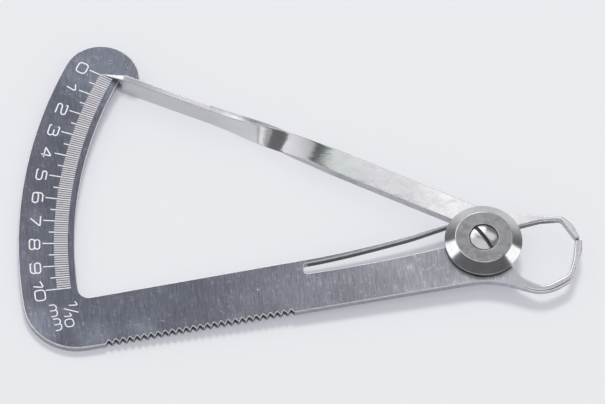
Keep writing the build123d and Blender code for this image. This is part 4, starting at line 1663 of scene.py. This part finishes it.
def make_floor(sizes, colours):
    """Floor through the three points that the caliper rests on: nut, plate corner and lip."""
    nut = Vector((0, 0, 0))
    corner = Vector((-79 * MM, -16 * MM, FRAME_LOW.z))
    lip = Vector((ARM_LOW.x, 36 * MM, ARM_LOW.z))
    normal = (lip - nut).cross(corner - nut).normalized()
    side = sizes.floor_size / 2
    across = Vector((1, 0, -normal.x / normal.z)).normalized()
    up = normal.cross(across)
    drop = 0.02 * MM
    ways = ((-1, -1), (1, -1), (1, 1), (-1, 1))
    corners = [across * (side * a) + up * (side * b) - normal * drop for a, b in ways]
    mesh = bpy.data.meshes.new("floor")
    mesh.from_pydata([tuple(corner) for corner in corners], [], [(0, 1, 2, 3)])
    material = bpy.data.materials.new("floor_paper")
    material.use_nodes = True
    shader = material.node_tree.nodes["Principled BSDF"]
    shade = tuple((1 - sizes.floor_lit) * value for value in colours.floor_shade)
    shader.inputs["Base Color"].default_value = (*(a - b for a, b in zip(colours.floor, shade)), 1)
    shader.inputs["Emission Color"].default_value = (*shade, 1)
    shader.inputs["Emission Strength"].default_value = 1
    shader.inputs["Roughness"].default_value = 0.9
    shader.inputs["Specular IOR Level"].default_value = 0.1
    mesh.materials.append(material)
    floor = bpy.data.objects.new("floor", mesh)
    bpy.context.scene.collection.objects.link(floor)


def make_world(scene, colours):
    """Even light for the floor. In the steel's reflections the surroundings are a pale band on the
    horizon, with a dim room over it, chosen by the height of the direction."""
    shades = ((0.12, 1.0), (0.18, 0.62), (0.28, 0.3), (0.32, 0.19))
    zenith, even = (0.15, 0.15, 0.165), (0.57, 0.57, 0.57)
    world = bpy.data.worlds.new("studio")
    world.use_nodes = True
    net = Net(world.node_tree)
    path = net.nodes.new("ShaderNodeLightPath").outputs
    way = net.nodes.new("ShaderNodeTexCoord").outputs["Generated"]
    stops = [(height, (shade, shade, 1.03 * shade)) for height, shade in shades]
    bands = net.ramp(net.add("SeparateXYZ", {0: way}, "Z"), [(0, WHITE), *stops, (1, zenith)])
    reflected = net.mix(path["Is Glossy Ray"], even, bands)
    seen = net.mix(path["Is Camera Ray"], reflected, colours.floor)
    net.feed(net.nodes["Background"].inputs["Color"], seen)
    scene.world = world


# Lamps as name, direction and elevation in degrees as the camera sees them, the direction and elevation
# along which their width runs, distance, width and height in metres, glow, which is the light that a mirror
# would show, and whether they light the floor or show in the steel
LAMPS = (
    ("lamp_back", 74, 52, 159.3, 0, 0.7, 0.62, 0.30, 1.0, "steel"),
    ("lamp_top", 177, 80, 159.3, 0, 0.6, 0.8, 0.46, 0.88, "steel"),
    ("lamp_front", 262, 17, 159.3, 0, 0.8, 1.5, 0.34, 0.27, "steel"),
    ("lamp_left", 173, 34, -80, 23, 0.8, 0.40, 0.18, 1.9, "steel"),
    ("lamp_right", 7, 34, -100, 23, 0.8, 0.40, 0.18, 1.8, "steel"),
    ("lamp_pointer", 128, 38, 159.3, 0, 0.8, 0.4, 0.4, 1.5, "steel"),
    ("lamp_glint", 96, 37, 159.3, 0, 0.9, 0.3, 0.3, 3.0, "steel"),
    ("lamp_key", 90, 54, 159.3, 0, 3.2, 0.8, 0.8, 25.6, "floor"),
)


def make_lamp(scene, turn, name, direction, elevation, across, rise, distance, width, height, glow, use):
    """Soft rectangular lamp that looks at the caliper's middle, with its width along a given direction."""

    def way(plan, up):
        """Direction from an angle as the camera sees it and an elevation."""
        plan = radians(plan) - turn
        up = radians(up)
        return Vector((cos(plan) * cos(up), sin(plan) * cos(up), sin(up)))

    light = bpy.data.lights.new(name, "AREA")
    light.shape = "RECTANGLE"
    light.size = width
    light.size_y = height
    light.energy = glow * pi * width * height
    lamp = bpy.data.objects.new(name, light)
    middle = Vector((-30 * MM, 0, 0))
    away = way(direction, elevation)
    run = way(across, rise)
    run = (run - away * run.dot(away)).normalized()
    turned_axes = Matrix((run, away.cross(run), away)).transposed()
    lamp.matrix_world = Matrix.Translation(middle + distance * away) @ turned_axes.to_4x4()
    lamp.visible_diffuse = use == "floor"
    lamp.visible_glossy = use == "steel"
    scene.collection.objects.link(lamp)


def make_camera(scene, sizes):
    """Camera that sees the pivot at its place in the picture, from the photograph's tilt, roll and turn."""
    turn = Matrix.Rotation(-sizes.turn, 3, "Z")
    right = Vector((1, 0, 0))
    ahead = Vector((0, cos(sizes.tilt), -sin(sizes.tilt)))
    up = Vector((0, sin(sizes.tilt), cos(sizes.tilt)))
    rolled_right = cos(sizes.roll) * right + sin(sizes.roll) * up
    rolled_up = -sin(sizes.roll) * right + cos(sizes.roll) * up
    sight = Vector((sizes.pivot_right / sizes.focal, -sizes.pivot_down / sizes.focal, 1)).normalized()
    reach = sight * sizes.distance
    eye = -(reach.x * rolled_right + reach.y * rolled_up + reach.z * ahead)
    axes = [turn @ axis for axis in (rolled_right, rolled_up, -ahead)]
    place = turn @ eye + Vector((0, 0, FRAME_HIGH.z))
    data = bpy.data.cameras.new("camera")
    data.sensor_width = 36
    data.lens = sizes.focal * data.sensor_width
    data.clip_end = 20
    camera = bpy.data.objects.new("camera", data)
    rotation = Matrix(axes).transposed().to_4x4()
    camera.matrix_world = Matrix.Translation(place) @ rotation
    scene.collection.objects.link(camera)
    scene.camera = camera


MAKERS = (
    CALIPER_OT_materials,
    CALIPER_OT_scale_frame,
    CALIPER_OT_spring_leaf,
    CALIPER_OT_scale_marks,
    CALIPER_OT_numbers,
    CALIPER_OT_pointer_arm,
    CALIPER_OT_pivot_cap,
    CALIPER_OT_pivot_screw,
    CALIPER_OT_pivot_bush,
    CALIPER_OT_back_nut,
    CALIPER_OT_stage,
)


class CALIPER_PT_panel(bpy.types.Panel):
    """Lists the caliper's pieces and its stage"""

    bl_idname = "CALIPER_PT_panel"
    bl_label = "Spring caliper"
    bl_space_type = "VIEW_3D"
    bl_region_type = "UI"
    bl_category = "Caliper"

    def draw(self, context):
        for maker in MAKERS:
            self.layout.operator(maker.bl_idname, text=maker.bl_label)


GROUPS = (
    ("caliper_plate", PlateSizes),
    ("caliper_body", BodySizes),
    ("caliper_arm", ArmSizes),
    ("caliper_pivot", PivotSizes),
    ("caliper_colours", FinishColours),
    ("caliper_stage", StageSizes),
)


def register():
    """Registers the settings, the makers and the panel."""
    for name, group in GROUPS:
        bpy.utils.register_class(group)
        setattr(bpy.types.Scene, name, PointerProperty(type=group))
    for maker in (*MAKERS, CALIPER_PT_panel):
        bpy.utils.register_class(maker)


def unregister():
    """Takes the settings, the makers and the panel away again."""
    for maker in (CALIPER_PT_panel, *reversed(MAKERS)):
        bpy.utils.unregister_class(maker)
    for name, group in reversed(GROUPS):
        delattr(bpy.types.Scene, name)
        bpy.utils.unregister_class(group)


def main():
    register()
    bpy.ops.caliper.materials()
    bpy.ops.caliper.scale_frame()
    bpy.ops.caliper.spring_leaf()
    bpy.ops.caliper.scale_marks()
    bpy.ops.caliper.numbers()
    bpy.ops.caliper.pointer_arm()
    bpy.ops.caliper.pivot_cap()
    bpy.ops.caliper.pivot_screw()
    bpy.ops.caliper.pivot_bush()
    bpy.ops.caliper.back_nut()
    bpy.ops.caliper.stage()


if __name__ == "__main__":
    main()
